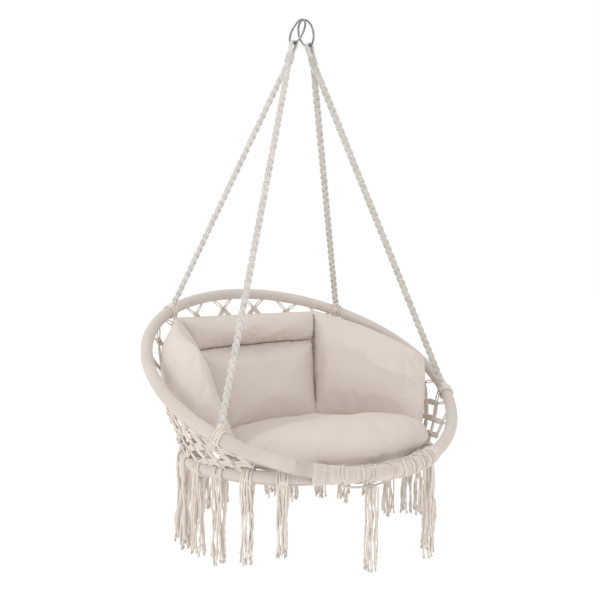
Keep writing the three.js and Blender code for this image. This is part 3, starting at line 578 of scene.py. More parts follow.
@dataclass
class HoopSleeve:
    """A cotton sleeve drawn over a bent tube and closed by an overcast seam on the outer underside.

    The sleeve is a torus whose radius drifts with a soft field and with short wrinkles round the hoop.
    The seam is a line of short slanted stitches, each a straight cord pressed on the sleeve.
    """

    name: str
    hoop: Hoop
    body: Body
    node: str
    wrinkle: float = 0.00035
    wrinkle_waves: tuple[float, float] = (0.09, 0.022)
    seam_angle: float = -62.0  # round the section, from outwards
    stitch_pitch: float = 0.0052
    stitch_radius: float = 0.0011
    stations: int = 420
    sides: int = 28

    def build(self) -> None:
        """Makes the sleeve and its seam, and lets them stand for the CAD node."""
        degrees = np.arange(self.stations) * 360.0 / self.stations
        turn = circle(self.sides)
        spokes = (self.hoop.outwards(degrees)[:, None] * np.cos(turn)[:, None]
                  + self.hoop.normal * np.sin(turn)[:, None])
        line = self.hoop.place(degrees)[:, None]
        ideal = line + spokes * SLEEVE_RADIUS
        long, short = (soft_field(ideal, wave, seed) for wave, seed in zip(self.wrinkle_waves, (11, 12)))
        swell = (0.5 * long + 0.5 * short) * self.wrinkle
        points = line + spokes * (SLEEVE_RADIUS + swell)[..., None]
        corners = cells(self.stations, self.sides, other_way=True)
        quads = np.stack([(a % self.stations) * self.sides + b % self.sides for a, b in corners], axis=-1)
        length = 2 * np.pi * self.hoop.radius
        uv = [np.stack([a * length / self.stations, b / self.sides], axis=-1) for a, b in corners]
        torus = Surface(points.reshape(-1, 3), quads.reshape(-1, 4), np.stack(uv, axis=-2).reshape(-1, 4, 2))
        make_piece(self.name, torus, SLEEVE_COTTON, Slot.SLEEVE, self.body, self.node)
        make_piece(self.name + "_seam", self.seam(length), CORD_COTTON, Slot.CORD, self.body)

    def seam(self, length: float) -> Surface:
        """The overcast stitches, each slanted across the seam by its own seeded amount."""
        rng = np.random.default_rng(5)
        count = int(length / self.stitch_pitch)
        middle = np.arange(count) * 360.0 / count
        lean = rng.uniform(0.5, 0.9, count) * 360.0 / count
        share = np.linspace(-1, 1, 5)
        degrees = middle[:, None] + lean[:, None] * share
        angle = np.radians(self.seam_angle + 11.0 * share * rng.uniform(0.8, 1.25, count)[:, None])
        radius = SLEEVE_RADIUS + self.stitch_radius * (0.9 - 0.9 * share**2)
        paths = self.hoop.about(degrees, angle, radius)
        return tubes(paths, self.stitch_radius, self.hoop.outwards(degrees), 5)


# ---------------------------------------------------------------- rings, hitches and ropes


RING_LEAN = 18.0
RING_WIRE = 0.0025  # radius
RING_RADIUS = 0.0315  # of the wire's centre line
RING_APART = 0.00265  # from the middle to either ring's top


@dataclass(frozen=True)
class HangingRing:
    """The frame of one steel ring that leans outwards below the hook."""

    side: int

    @property
    def down(self) -> Array:
        """The direction in the ring's plane towards its lowest point."""
        lean = math.radians(RING_LEAN)
        return np.array([self.side * math.sin(lean), 0.0, -math.cos(lean)])

    @property
    def sideways(self) -> Array:
        """The direction square to the ring's plane."""
        return np.cross(REARWARD, self.down)

    @property
    def centre(self) -> Array:
        """The ring's middle."""
        top = np.array([self.side * RING_APART, 0.0, RING_WIRE * math.cos(math.radians(RING_LEAN))])
        return top + self.down * RING_RADIUS

    def place(self, degrees: Array, radius: Array | float) -> Array:
        """A place in the ring's plane, degrees from its lowest point towards the back."""
        turn = np.radians(np.asarray(degrees, float))[..., None]
        spoke = np.cos(turn) * self.down + np.sin(turn) * REARWARD
        return self.centre + spoke * np.asarray(radius, float)[..., None]

    def neck(self, below: Array | float) -> Array:
        """A place on the neck's line, below the ring's wire."""
        return self.place(0.0, RING_RADIUS + np.asarray(below, float))


@dataclass
class RingHitch:
    """One steel ring, the cords hitched over it, the neck they are bound into, and its binding."""

    label: str
    side: int
    cords: int = 6
    cord_radius: float = 0.0026
    spread: float = 8.5  # degrees round the ring from the middle to the outermost cord
    rise: float = 0.0005  # between the wire and the cords over it
    room: float = 0.0024  # between the wire and the cords beside it
    bundle_half: tuple[float, float] = (0.0066, 0.0046)  # of the neck's bundle, across and deep
    neck_top: float = 0.020
    neck_bottom: float = 0.064
    draw: float = 2.6  # how much sooner than the neck's end the legs are drawn in
    core_radius: float = 0.0058
    binding_radius: float = 0.0011
    binding_turns: int = 9
    binding_middle: float = 0.0395
    bound_radius: float = 0.0086

    def build(self) -> None:
        """Makes the ring, the hitch and the binding."""
        ring = HangingRing(self.side)
        degrees = np.arange(96) * 3.75
        wire = tubes(ring.place(degrees, RING_RADIUS), RING_WIRE, ring.sideways, 16, closed=True)
        node = f"steel_ring_{self.label}"
        make_piece(f"ring_{self.label}", wire, RING_STEEL, Slot.RINGS, Body.RINGS, node)
        for name, surface, node in (
            (f"hitch_{self.label}", self.hitch(ring), f"rope_hitch_{self.label}"),
            (f"binding_{self.label}", self.binding(ring), f"neck_seizing_{self.label}"),
        ):
            make_piece(name, surface, ROPE_COTTON, Slot.CORD, Body.CHAIR, node)

    def hitch(self, ring: HangingRing) -> Surface:
        """Cords over the ring: half circles over the wire, then both legs drawn in to the neck's bundle."""
        starts = np.linspace(-self.spread, self.spread, self.cords)
        rise = RING_WIRE + self.cord_radius + self.rise
        reach = RING_WIRE + self.cord_radius + self.room
        turn = np.linspace(0, np.pi, 13)
        out = unit(ring.place(starts, 1.0) - ring.centre)[:, None]
        wire = ring.place(starts, RING_RADIUS)[:, None]
        arch = wire - out * (rise * np.sin(turn))[:, None] + ring.sideways * (reach * np.cos(turn))[:, None]
        along = np.linspace(0, 1, 16)[1:]
        half_across, half_deep = self.bundle_half
        bundle = np.linspace(-1, 1, self.cords)[:, None, None] * REARWARD * half_across
        depth = np.sqrt(np.clip(1 - np.linspace(-0.85, 0.85, self.cords) ** 2, 0, 1))[:, None, None]
        pull = smooth(np.clip(along * self.draw, 0, 1))[:, None]
        legs = []
        for sign, end in ((1, arch[:, :1]), (-1, arch[:, -1:])):
            target = ring.neck(self.neck_top + (self.neck_bottom - self.neck_top) * along) + bundle
            target = target + ring.sideways * sign * half_deep * depth
            straight = end + ring.down * ((self.neck_bottom + 0.004) * along)[:, None]
            legs.append(straight * (1 - pull) + target * pull)
        paths = np.concatenate([legs[0][:, ::-1], arch, legs[1]], axis=1)
        middle = ring.neck(np.linspace(self.neck_top + 0.002, self.neck_bottom - 0.001, 8))
        core = tubes(middle, self.core_radius, REARWARD, 10)
        return joined([tubes(paths, self.cord_radius, REARWARD, 8), core])

    def binding(self, ring: HangingRing) -> Surface:
        """A cord wound round the neck, each turn pressed against the last."""
        share = np.linspace(0, 1, self.binding_turns * 20 + 1)
        turn = 2 * np.pi * self.binding_turns * share
        radius = self.bound_radius + self.binding_radius
        below = self.binding_middle + (share - 0.5) * 2 * self.binding_radius * self.binding_turns
        path = ring.neck(below) + ring.sideways * (radius * np.cos(turn))[:, None]
        path = path + REARWARD * (radius * np.sin(turn))[:, None]
        return tubes(path, self.binding_radius, ring.down, 8)


@dataclass
class PlaitedRope:
    """One hanging rope: three strands of two cords each, plaited flat, and the knot that ties it on.

    A strand swings across the rope as a sine and through it as a sine of twice the rate, each a third
    of a turn behind the last. The strands start parallel below the neck.
    """

    place: str
    label: str
    degrees: float
    turned: float = 0.0
    period: float = 0.056
    half_width: float = 0.0050
    half_depth: float = 0.0024
    cord_radius: float = 0.0023
    knot_radius: float = 0.0025
    knot_turns: int = 4
    end_loop: float = 0.0066  # radius of the loops round the rope's end
    start_below: float = 0.058  # the ring's wire, on the neck
    start_apart: float = 0.0052  # from the neck's line
    step: float = 0.0032  # from station to station
    parallel: float = 0.012  # length before the strands begin to cross
    easing: float = 0.05  # length over which they take up the whole plait
    squeeze: float = 0.86  # of a cord's radius, from a strand's line to each of its cords
    rough: float = 0.00012
    knot_pitch: float = 2.1  # of the knot cord's radius
    knot_lean: float = 0.0022

    def build(self) -> None:
        """Makes the rope and its knot."""
        ring = HangingRing(-1 if self.label == "left" else 1)
        towards = -1.0 if self.place == "front" else 1.0
        top = ring.neck(self.start_below) + REARWARD * (towards * self.start_apart)
        foot = MAIN.place(self.degrees)
        line = unit(foot - top)
        bottom = foot - line * (SLEEVE_RADIUS + 2 * self.knot_radius)
        key = f"{self.place}_{self.label}"
        rope = self.plait(top, bottom)
        make_piece(f"plait_{key}", rope, ROPE_COTTON, Slot.CORD, Body.CHAIR, f"rope_{key}")
        make_piece(f"knot_{key}", self.knot(line), CORD_COTTON, Slot.CORD, Body.CHAIR, f"rope_knot_{key}")

    def plait(self, top: Array, bottom: Array) -> Surface:
        """The strands' paths about the straight line from top to bottom."""
        length = distance(bottom, top)
        line = (bottom - top) / length
        turned = math.radians(self.turned)
        flat = unit(np.cross(line, [math.cos(turned), math.sin(turned), 0.0]))
        deep = np.cross(line, flat)
        run = np.linspace(0, length, int(length / self.step))
        start = smooth((run - self.parallel) / self.easing)
        paths = []
        for strand in range(3):
            phase = 2 * np.pi * (run / self.period + strand / 3)
            across = self.half_width * (start * np.sin(phase) + (1 - start) * (strand - 1) * 0.8)
            through = self.half_depth * start * np.sin(2 * phase)
            middle = top + line * run[:, None] + flat * across[:, None] + deep * through[:, None]
            heading = unit(np.gradient(middle, axis=0))
            beside = unit(np.cross(heading, deep))
            for sign in (-1, 1):
                paths.append(middle + beside * sign * self.cord_radius * self.squeeze)
        rng = np.random.default_rng(int(abs(self.degrees) * 10))
        paths = np.stack(paths) + rng.normal(scale=self.rough, size=(6, len(run), 3))
        return tubes(paths, self.cord_radius, deep, 8)

    def knot(self, line: Array) -> Surface:
        """Turns round the sleeve, each a loop leaning its own way, and two loops round the rope's end."""
        rng = np.random.default_rng(int(self.degrees))
        turn = circle(24)
        radius = SLEEVE_RADIUS + self.knot_radius
        loops = []
        for n in range(self.knot_turns):
            offset = (n - (self.knot_turns - 1) / 2) * self.knot_pitch * self.knot_radius
            lean = rng.uniform(-1, 1) * self.knot_lean
            shift = offset + lean * np.sin(turn + rng.uniform(0, 6))
            loops.append(MAIN.about(self.degrees + np.degrees(shift / MAIN.radius), turn, radius))
        side = unit(np.cross(line, MAIN.along(self.degrees)))
        other = np.cross(line, side)
        for n in range(3):
            centre = MAIN.place(self.degrees) - line * (SLEEVE_RADIUS + self.knot_radius * (1.6 + 1.7 * n))
            tilt = rng.uniform(-0.25, 0.25)
            wide = self.end_loop * (np.cos(turn)[:, None] * side + np.sin(turn)[:, None] * other)
            loops.append(centre + wide + line * (tilt * self.end_loop * np.cos(turn))[:, None])
        return tubes(np.stack(loops), self.knot_radius, MAIN.normal + 0.3 * MAIN.back, 7, closed=True)


# ---------------------------------------------------------------- lashing


@dataclass
class FrontLashing:
    """The cord wound round both hoops where they meet at the front, in pieces.

    The winding's section is two half circles, one about each hoop, and the straight runs between them.
    """

    first: float = -116.4
    last: float = -66.0
    cord_radius: float = 0.0011
    turns: int = 156
    loop_radius: float = 0.0015
    steps: int = 22
    groups: int = 13
    stray_turns: int = 11
    stray_room: float = 6.2  # degrees
    uneven: float = 0.05  # degrees, of a turn's place
    loop_slants: tuple[float, float] = (0.6, 2.6)  # degrees
    loop_stands: tuple[float, float] = (1.4, 2.4)  # of the cord's radius, over the winding
    loose: tuple[int, ...] = (0, 0, 1, 0, 2, 2, 1, 2, 3, 4, 5, 6, 6)  # loops over each group

    def build(self) -> None:
        """Makes the winding in groups of whole turns, and the loose loops over it."""
        each = self.turns // self.groups
        uneven = np.random.default_rng(39).normal(scale=self.uneven, size=self.turns + 1)
        for group in range(self.groups):
            turns = np.linspace(group * each, (group + 1) * each, each * self.steps + 1)
            degrees = self.first + (self.last - self.first) * turns / self.turns
            jitter = np.interp(turns, np.arange(self.turns + 1), uneven)
            skins = [self.wound(degrees + jitter, 2 * np.pi * turns, 0.0, self.cord_radius)]
            skins += self.loose_loops(group)
            if group == 0:
                skins.append(self.strays())
            piece = make_piece(f"lashing_{group + 1:02d}", joined(skins), CORD_COTTON, Slot.CORD)
            middle = float(np.mean(degrees))
            blend_in_fold(piece, MAIN.place(middle), SEAT.place(nearest_on_seat(middle)))
            if group == 0:
                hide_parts("front_lashing")

    def strays(self) -> Surface:
        """A few open turns on the main hoop alone, before the winding takes in both."""
        turns = np.linspace(0, self.stray_turns, self.stray_turns * self.steps + 1)
        degrees = self.first - self.stray_room * (1 - turns / self.stray_turns) ** 0.8
        around = 2 * np.pi * turns[:, None]
        out = MAIN.outwards(degrees) * np.cos(around) + MAIN.normal * np.sin(around)
        path = MAIN.place(degrees) + out * (SLEEVE_RADIUS + self.cord_radius)
        return tubes(path, self.cord_radius, out, 6)

    def wound(self, degrees: Array, turn: Array, proud: float, cord_radius: float) -> Surface:
        """A cord at an angle of its turn about whichever hoop is nearer."""
        across = nearest_on_seat(degrees)
        main, seat = MAIN.place(degrees), SEAT.place(across)
        line = unit(seat - main)
        by_seat = np.cos(turn) > 0
        along = np.where(by_seat[:, None], SEAT.along(across), MAIN.along(degrees))
        square = unit(np.cross(line, along))
        radius = SLEEVE_RADIUS + cord_radius + proud
        path = np.where(by_seat[:, None], seat, main)
        path = path + line * (radius * np.cos(turn))[:, None] + square * (radius * np.sin(turn))[:, None]
        return tubes(path, cord_radius, along, 6)

    def loose_loops(self, group: int) -> list[Surface]:
        """Single turns that slant across the winding, most of them near its right end."""
        rng = np.random.default_rng(40 + group)
        width = (self.last - self.first) / self.groups
        turn = np.linspace(0.3, 2 * np.pi - 0.3, 34)
        loops = []
        for _ in range(self.loose[group]):
            middle = self.first + width * (group + rng.uniform(0.2, 0.8))
            slant = rng.uniform(*self.loop_slants) * rng.choice([-1, 1], p=[0.3, 0.7])
            proud = rng.uniform(*self.loop_stands) * self.cord_radius
            loops.append(self.wound(middle + slant * np.cos(turn), turn, proud, self.loop_radius))
        return loops


# ---------------------------------------------------------------- nets


STRAP_TIGHTNESS = 0.42  # of a cord's width, from cord to cord at the knots
KNOT_WIDTHS = (0.0074, 0.0086)  # half widths
KNOT_DEPTH = 0.0056  # half
KNOT_STEP = 1.9  # of the cord's radius, from loop to loop
KNOT_LEAN = 0.35


def strap(first: Array, second: Array, place: Placing, cords: int, radius: float, spread: float,
          stations: int = 9) -> tuple[Array, Array]:
    """The cords of one strap between two knots, side by side, closest at the knots.

    Args:
        first: The first knot in the net's own measure.
        second: The second knot.
        place: Turns (n, 2) of that measure into places and the net's outward directions.
        cords: How many cords lie side by side.
        radius: A cord's radius.
        spread: The share of a cord's width between two of them in the strap's middle.
        stations: Places along each cord.

    Returns:
        (cords, stations, 3) paths, and the outward directions along them.
    """
    share = np.linspace(0, 1, stations)
    measure = first + (second - first) * share[:, None]
    line, face = place(measure)
    beside = unit(np.cross(face, np.gradient(line, axis=0)))
    offset = (np.arange(cords) - (cords - 1) / 2) * 2 * radius
    fan = STRAP_TIGHTNESS + spread * np.sin(np.pi * share) ** 0.8
    paths = line + beside * (offset[:, None] * fan)[..., None]
    return paths, np.broadcast_to(face, paths.shape)


def knot_loops(centre: Array, down: Array, face: Array, rng: np.random.Generator, radius: float,
               size: float = 1.0) -> Array:
    """Three turns of cord round the crossing straps, leaning by turns: a square knot's front and back."""
    across = np.cross(face, down)
    turn = circle(16)
    loops = []
    for n, height in enumerate((-1.0, 0.0, 1.0)):
        lean = (KNOT_LEAN if n % 2 else -KNOT_LEAN) + rng.uniform(-0.12, 0.12)
        wide = size * rng.uniform(*KNOT_WIDTHS)
        ring = across * (wide * np.cos(turn))[:, None] + face * (size * KNOT_DEPTH * np.sin(turn))[:, None]
        shift = height * KNOT_STEP * radius * size + lean * wide * np.cos(turn)
        loops.append(centre + ring + down * shift[:, None])
    return np.stack(loops)


@dataclass
class SideNet:
    """The knotted net between the hoops, one piece to each column.

    A place in the net is a column and a share of the line from the main to the seat hoop. Knots stand in
    rows, every other row half a column over, and each knot sends a strap of cords to the two below it.
    """

    column: float = 15.0
    rows: int = 5
    front_gap: float = 45.0
    head_drop: float = 0.025
    least_pitch: float = 0.021  # so that fewer rows fit near the front
    most_first_row: float = 0.25
    lowest: float = 1.02  # share at which the straps end, inside the seat sleeve
    cord_radius: float = 0.0018
    head_radius: float = 0.0017
    cords: int = 5
    spread: float = 0.46  # of a cord's width between two in a strap's middle
    head_spread: float = 1.5
    head_apart: float = 0.30  # columns, from a knot to either of its heads
    head_bow: float = 0.003
    belly: float = 0.004  # of the net outwards, halfway down
    bedded: float = 0.001  # of the cords' ends in the sleeves
    uneven: float = 0.0006
    least_size: float = 0.82
    foot_size: float = 0.8  # of the knots on the seat hoop, besides
    roomy_pitch: float = 0.045  # from row to row, where knots have their full size
    panels: tuple[str, ...] = (
        "net_right_front", "net_right", "net_right_back", "net_left_back", "net_left", "net_left_front",
    )

    def foot(self, degrees: Array) -> Array:
        """The seat hoop's place at the foot of a column."""
        front = FRONT + self.front_gap
        share = (BACK - along_seat(front)) / (BACK - front)
        return BACK + (np.asarray(degrees, float) - BACK) * share

    def ends(self, degrees: Array) -> tuple[Array, Array]:
        """Where a column's line leaves the main sleeve and enters the seat sleeve."""
        top, bottom = MAIN.place(degrees), SEAT.place(self.foot(degrees))
        line = unit(bottom - top)
        return top + line * (SLEEVE_RADIUS - self.bedded), bottom - line * (SLEEVE_RADIUS - self.bedded)

    def place(self, measure: Array) -> tuple[Array, Array]:
        """Places of (column, share) pairs, and the direction that faces outwards there."""
        degrees = measure[..., 0] * self.column
        top, bottom = self.ends(degrees)
        face = unit(np.cross(MAIN.along(degrees), bottom - top))
        point = top + (bottom - top) * measure[..., 1:2]
        belly = 4 * measure[..., 1] * (1 - measure[..., 1])
        return point + face * (self.belly * belly)[..., None], face

    def share_of(self, row: int, column: float) -> float:
        """How far down the net a row's knot stands in a column; past 1 it would be below the seat hoop."""
        top, bottom = self.ends(np.array(column * self.column))
        length = distance(bottom, top)
        first = min(self.most_first_row, self.head_drop / length)
        return first + max((1 - first) / self.rows, self.least_pitch / length) * row

    def build(self) -> None:
        """Makes each column's cords and knots."""
        first = int(round((FRONT + self.front_gap) / self.column))
        last = int(round((270 - self.front_gap) / self.column))
        each = (last - first) // len(self.panels)
        for column in range(first, last):
            rng = np.random.default_rng(200 + column)
            surface = self.column_cords(column, last, rng)
            panel = self.panels[(column - first) // each]
            number = (column - first) % each
            piece = make_piece(f"{panel}_{number + 1}", surface, CORD_COTTON, Slot.CORD)
            blend_in_fold(piece, *self.ends(np.array((column + 0.5) * self.column)))
            if number == 0:
                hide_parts(panel)

    def column_cords(self, column: int, last: int, rng: np.random.Generator) -> Surface:
        """All the straps, heads and knots between two neighbouring columns.

        Args:
            column: The first of the two columns.
            last: The net's last column, with no column after it to make its knots.
            rng: The column's own random numbers.

        Returns:
            The cords as one surface.
        """
        paths, faces, loops, heads, head_faces = [], [], [], [], []
        top, bottom = self.ends(np.array((column + 0.5) * self.column))
        pitch = distance(bottom, top) / self.rows
        room = float(np.clip(pitch / self.roomy_pitch, self.least_size, 1.0))
        for row in range(self.rows + 1):
            between = row % 2 == 0
            for u in [column + 0.5] if between else [column, column + 1]:
                here = np.array([u, self.share_of(row, u)])
                if here[1] > 1.0 + 1e-6:
                    continue
                if between or u == column or u == last:
                    centre, face = self.place(here)
                    below, _ = self.place(here + np.array([0.0, 0.02]))
                    size = room if here[1] < 0.97 else self.foot_size * room
                    down = unit(below - centre)
                    loops.append(knot_loops(centre, down, face, rng, self.cord_radius, size))
                if row == self.rows:
                    continue
                for step in (-0.5, 0.5):
                    other = u + step
                    if not column <= min(u, other) < max(u, other) <= column + 1:
                        continue
                    there = np.array([other, self.share_of(row + 1, other)])
                    cut = min(1.0, (self.lowest - here[1]) / (there[1] - here[1]))
                    there = here + (there - here) * cut
                    path, face = strap(here, there, self.place, self.cords, self.cord_radius, self.spread)
                    paths.append(path + face * rng.normal(scale=self.uneven, size=(self.cords, 1, 1)))
                    faces.append(face)
        knot = np.array([column + 0.5, self.share_of(0, column + 0.5)])
        for step in (-self.head_apart, self.head_apart):
            head = np.array([column + 0.5 + step, 0.0])
            path, face = strap(head, knot, self.place, 2, self.head_radius, self.head_spread)
            bow = np.sin(np.linspace(0, np.pi, path.shape[1]))
            heads.append(path + face * (self.head_bow * rng.uniform(-1, 1, (2, 1)) * bow)[..., None])
            head_faces.append(face)
        leaning = MAIN.normal * 0.7 + MAIN.back * 0.3
        return joined([
            tubes(np.concatenate(paths), self.cord_radius, np.concatenate(faces)),
            tubes(np.concatenate(heads), self.head_radius, np.concatenate(head_faces)),
            tubes(np.concatenate(loops), self.cord_radius, leaning, 6, closed=True),
        ])


NET_RIM = 0.2854  # radius of the seat net's dish
NET_SAG = 0.030  # of its middle


@dataclass
class SeatNet:
    """The net inside the seat hoop: a shallow dish of knots in rings, with a coiled middle."""

    columns: int = 12
    shares: tuple[float, ...] = (1.0, 0.8, 0.6, 0.42, 0.22)
    cord_radius: float = 0.0019
    cords: int = 5
    coil_radius: float = 0.0021
    coil_turns: int = 15

    def place(self, measure: Array) -> tuple[Array, Array]:
        """Places of (column, share of the rim) pairs on the dish, and the direction straight under it."""
        turn = 2 * np.pi * measure[..., 0] / self.columns
        radius = measure[..., 1] * NET_RIM
        depth = NET_SAG * (1 - measure[..., 1] ** 2)
        flat = np.stack([radius * np.cos(turn), radius * np.sin(turn)], axis=-1)
        point = np.array(SEAT.centre) + flat[..., :1] * ACROSS + flat[..., 1:] * SEAT.back
        point = point - SEAT.normal * (depth + 0.001)[..., None]
        return point, np.broadcast_to(-SEAT.normal, point.shape)

    def build(self) -> None:
        """Makes the straps, the knots and the coil."""
        rng = np.random.default_rng(77)
        paths, faces, loops = [], [], []
        for row, share in enumerate(self.shares[:-1]):
            shift = 0.0 if row % 2 == 0 else 0.5
            for k in range(self.columns):
                here = np.array([k + shift, share])
                centre, face = self.place(here)
                below, _ = self.place(here - np.array([0.0, 0.02]))
                loops.append(knot_loops(centre, unit(below - centre), face, rng, self.cord_radius, 1.1))
                for step in (-0.5, 0.5):
                    there = np.array([k + shift + step, self.shares[row + 1]])
                    path, face = strap(here, there, self.place, self.cords, self.cord_radius, 0.7, 11)
                    paths.append(path)
                    faces.append(face)
        turn = np.linspace(0, self.coil_turns * 2 * np.pi, self.coil_turns * 40)
        spiral = np.stack([turn * self.columns / (2 * np.pi), 0.012 + 0.222 * turn / turn[-1]], -1)
        surface = joined([
            tubes(np.concatenate(paths), self.cord_radius, np.concatenate(faces)),
            tubes(np.concatenate(loops), self.cord_radius, SEAT.back * 0.3 + SEAT.normal, 6, closed=True),
            tubes(self.place(spiral)[0], self.coil_radius, SEAT.normal, 6),
        ])
        make_piece("seat_net_cords", surface, CORD_COTTON, Slot.CORD, Body.SEAT, "seat_net")


# ---------------------------------------------------------------- tassels


@dataclass
class Tassel:
    """A bundle of cords looped over the seat hoop, each knotted above its frayed end.

    Cords come down in two rows, one outside the hoop and one inside it, spread to their own places in a
    round foot, and wander by two sine waves on the way. A knot is a swelling of a cord's radius, and
    its end is a tuft of fibres. What stands too far from the bundle's line is drawn in square to it.
    """

    name: str
    node: str
    degrees: float
    length: float
    top: Array | None = None
    cords: int = 10
    cord_radius: float = 0.0023
    most_diameter: float = 0.033
    row_half: float = 0.0150  # of the widest bundle
    row_apart: float = 0.0085  # from its line to either row
    row_lift: float = 0.0130  # of the outer row's ends over its top
    tuft_room: float = 0.0046  # between the outermost cord's line and the bundle's side
    fray: float = 0.012
    fibres: int = 14
    spare: float = 0.005  # of the lowest fibre below the declared length
    slimness: float = 6.05  # least length in diameters
    half_share: float = 0.65  # of the diameter, from the bundle's line to its side
    shortest: float = 0.87  # cord, as a share of the longest
    foot_turn: float = 0.382  # of a circle, from one cord's foot to the next
    nearest: float = 0.35  # squared share of the way out at which a foot may stand
    waves: tuple = ((0.0008, 0.0022, 0.07, 0.14), (0.0003, 0.0008, 0.02, 0.035))  # sizes, then lengths
    uneven: float = 0.05  # share of a cord's radius
    knot_heights: tuple[float, float] = (0.003, 0.012)  # over a cord's end
    knot_swell: float = 0.8
    knot_half: float = 0.0042  # length

    def build(self) -> None:
        """Makes the bundle as one free cord, and its loops on the hoop."""
        rng = np.random.default_rng(int(self.degrees * 10) % 997 + 31)
        hangs_on_hoop = self.top is None
        top = SEAT.place(self.degrees, TASSEL_OUTSET) + DOWN * TASSEL_DROP if hangs_on_hoop else self.top
        diameter = min(self.most_diameter, (self.length - self.spare) / self.slimness)
        bundle = self.strands(top, diameter, self.row_lift if hangs_on_hoop else None, rng)
        hung = float(top[2] - bundle.points[:, 2].min()) - self.spare
        on_line = np.clip((bundle.points - top) @ DOWN, 0.0, hung)[:, None] * DOWN + top
        off_line = bundle.points - on_line
        far = np.linalg.norm(off_line, axis=1, keepdims=True)
        most = self.half_share * diameter + 0.0016
        bundle.points = on_line + off_line * np.minimum(1.0, most / np.maximum(far, 1e-9))
        piece = make_piece(self.name, bundle, CORD_COTTON, Slot.CORD, Body.SEAT, self.node)
        if hangs_on_hoop:
            self.loops(rng)

    def strands(self, top: Array, diameter: float, row_lift: float | None,
                rng: np.random.Generator) -> Surface:
        """The bundle's cords and their tufts, before any is drawn in.

        Args:
            top: Where the bundle's line starts.
            diameter: The bundle's own.
            row_lift: How far the outer row starts over the top, or nothing where no hoop parts the rows.
            rng: The tassel's own random numbers.

        Returns:
            Cords and tufts as one surface.
        """
        along = unit(SEAT.along(self.degrees) * (ACROSS + REARWARD))
        outward = unit(SEAT.outwards(self.degrees) * (ACROSS + REARWARD))
        widest = self.half_share * diameter - self.tuft_room
        scale = diameter / self.most_diameter
        n = self.cords
        share = np.linspace(0, 1, 30)
        lengths = (self.length - self.fray) * rng.uniform(self.shortest, 1.0, n)
        lengths[rng.integers(n)] = self.length - self.fray
        outer = np.arange(n) % 2 == 0
        lift = np.zeros(n) if row_lift is None else np.where(outer, row_lift * scale, 0.001)
        angle = 2 * np.pi * (np.arange(n) * self.foot_turn + rng.uniform())
        reach = widest * np.sqrt(rng.uniform(self.nearest, 1.0, n))
        order = np.argsort(np.cos(angle) * reach)
        foot_a, foot_b = (reach * np.cos(angle))[order], (reach * np.sin(angle))[order]
        spread = smooth(share * 1.1)
        head_a = np.linspace(-1, 1, n)[:, None] * self.row_half * scale
        head_b = np.where(outer, 1.0, -1.0)[:, None] * self.row_apart * scale
        a = head_a * (1 - spread) + foot_a[:, None] * spread
        b = head_b * (1 - spread) + foot_b[:, None] * spread
        for least, most, short, long in self.waves:
            size = rng.uniform(least, most, (2, n, 1))
            wave = share * self.length / rng.uniform(short, long, (2, n, 1)) + rng.uniform(0, 1, (2, n, 1))
            wander = size * np.sin(2 * np.pi * wave) * smooth(share * 5)
            a, b = a + wander[0], b + wander[1]
        inside = np.minimum(1.0, widest / np.maximum(np.hypot(a, b), 1e-6))
        inside = 1 + (inside - 1) * smooth(share * 4)
        a, b = a * inside, b * inside
        drop = (lengths + lift)[:, None] * share - lift[:, None]
        paths = top + a[..., None] * along + b[..., None] * outward + drop[..., None] * DOWN
        radii = self.cord_radius * (1 + self.uneven * rng.normal(size=(n, len(share))))
        above = (1 - share) * lengths[:, None] - rng.uniform(*self.knot_heights, (n, 1))
        radii = radii * (1 + self.knot_swell * np.exp(-((above / self.knot_half) ** 2)))
        return joined([tubes(paths, radii, outward, 7), self.tufts(paths, rng)])

    def tufts(self, paths: Array, rng: np.random.Generator) -> Surface:
        """Fibres that fan out of each cord's end, every one a thin bent cone."""
        shape = (self.cords, self.fibres)
        end = paths[:, -1]
        heading = unit(paths[:, -1] - paths[:, -4])
        reach = rng.uniform(0.65, 1.15, (*shape, 1)) * self.fray
        fan = np.clip(rng.normal(size=(*shape, 3)) * 0.2, -0.28, 0.28)
        bend = rng.normal(size=(*shape, 3)) * 0.1
        share = np.linspace(0, 1, 4)
        direction = unit(heading[:, None] + fan)
        begin = end[:, None] - heading[:, None] * 0.001 + fan * 0.0035
        spine = begin[:, :, None] + direction[:, :, None] * (reach * share)[..., None]
        spine = spine + bend[:, :, None] * (reach * share**2)[..., None]
        radii = 0.0009 * (1 - 0.7 * share)
        return tubes(spine.reshape(-1, 4, 3), radii, [0.9, 0.43, 0.0], 4, domed=False)

    def loops(self, rng: np.random.Generator) -> None:
        """The turns round the seat hoop that the bundle hangs from."""
        turn = circle(24)
        radius = SLEEVE_RADIUS + self.cord_radius * 0.9
        loops = []
        for n in range(5):
            shift = (n - 2) * 2.25 * self.cord_radius + 0.0012 * np.sin(turn + rng.uniform(0, 6))
            loops.append(SEAT.about(self.degrees + np.degrees(shift / SEAT.radius), turn, radius))
        surface = tubes(np.stack(loops), self.cord_radius, SEAT.along(self.degrees), 6, closed=True)
        make_piece(self.name + "_loops", surface, CORD_COTTON, Slot.CORD, Body.SEAT)


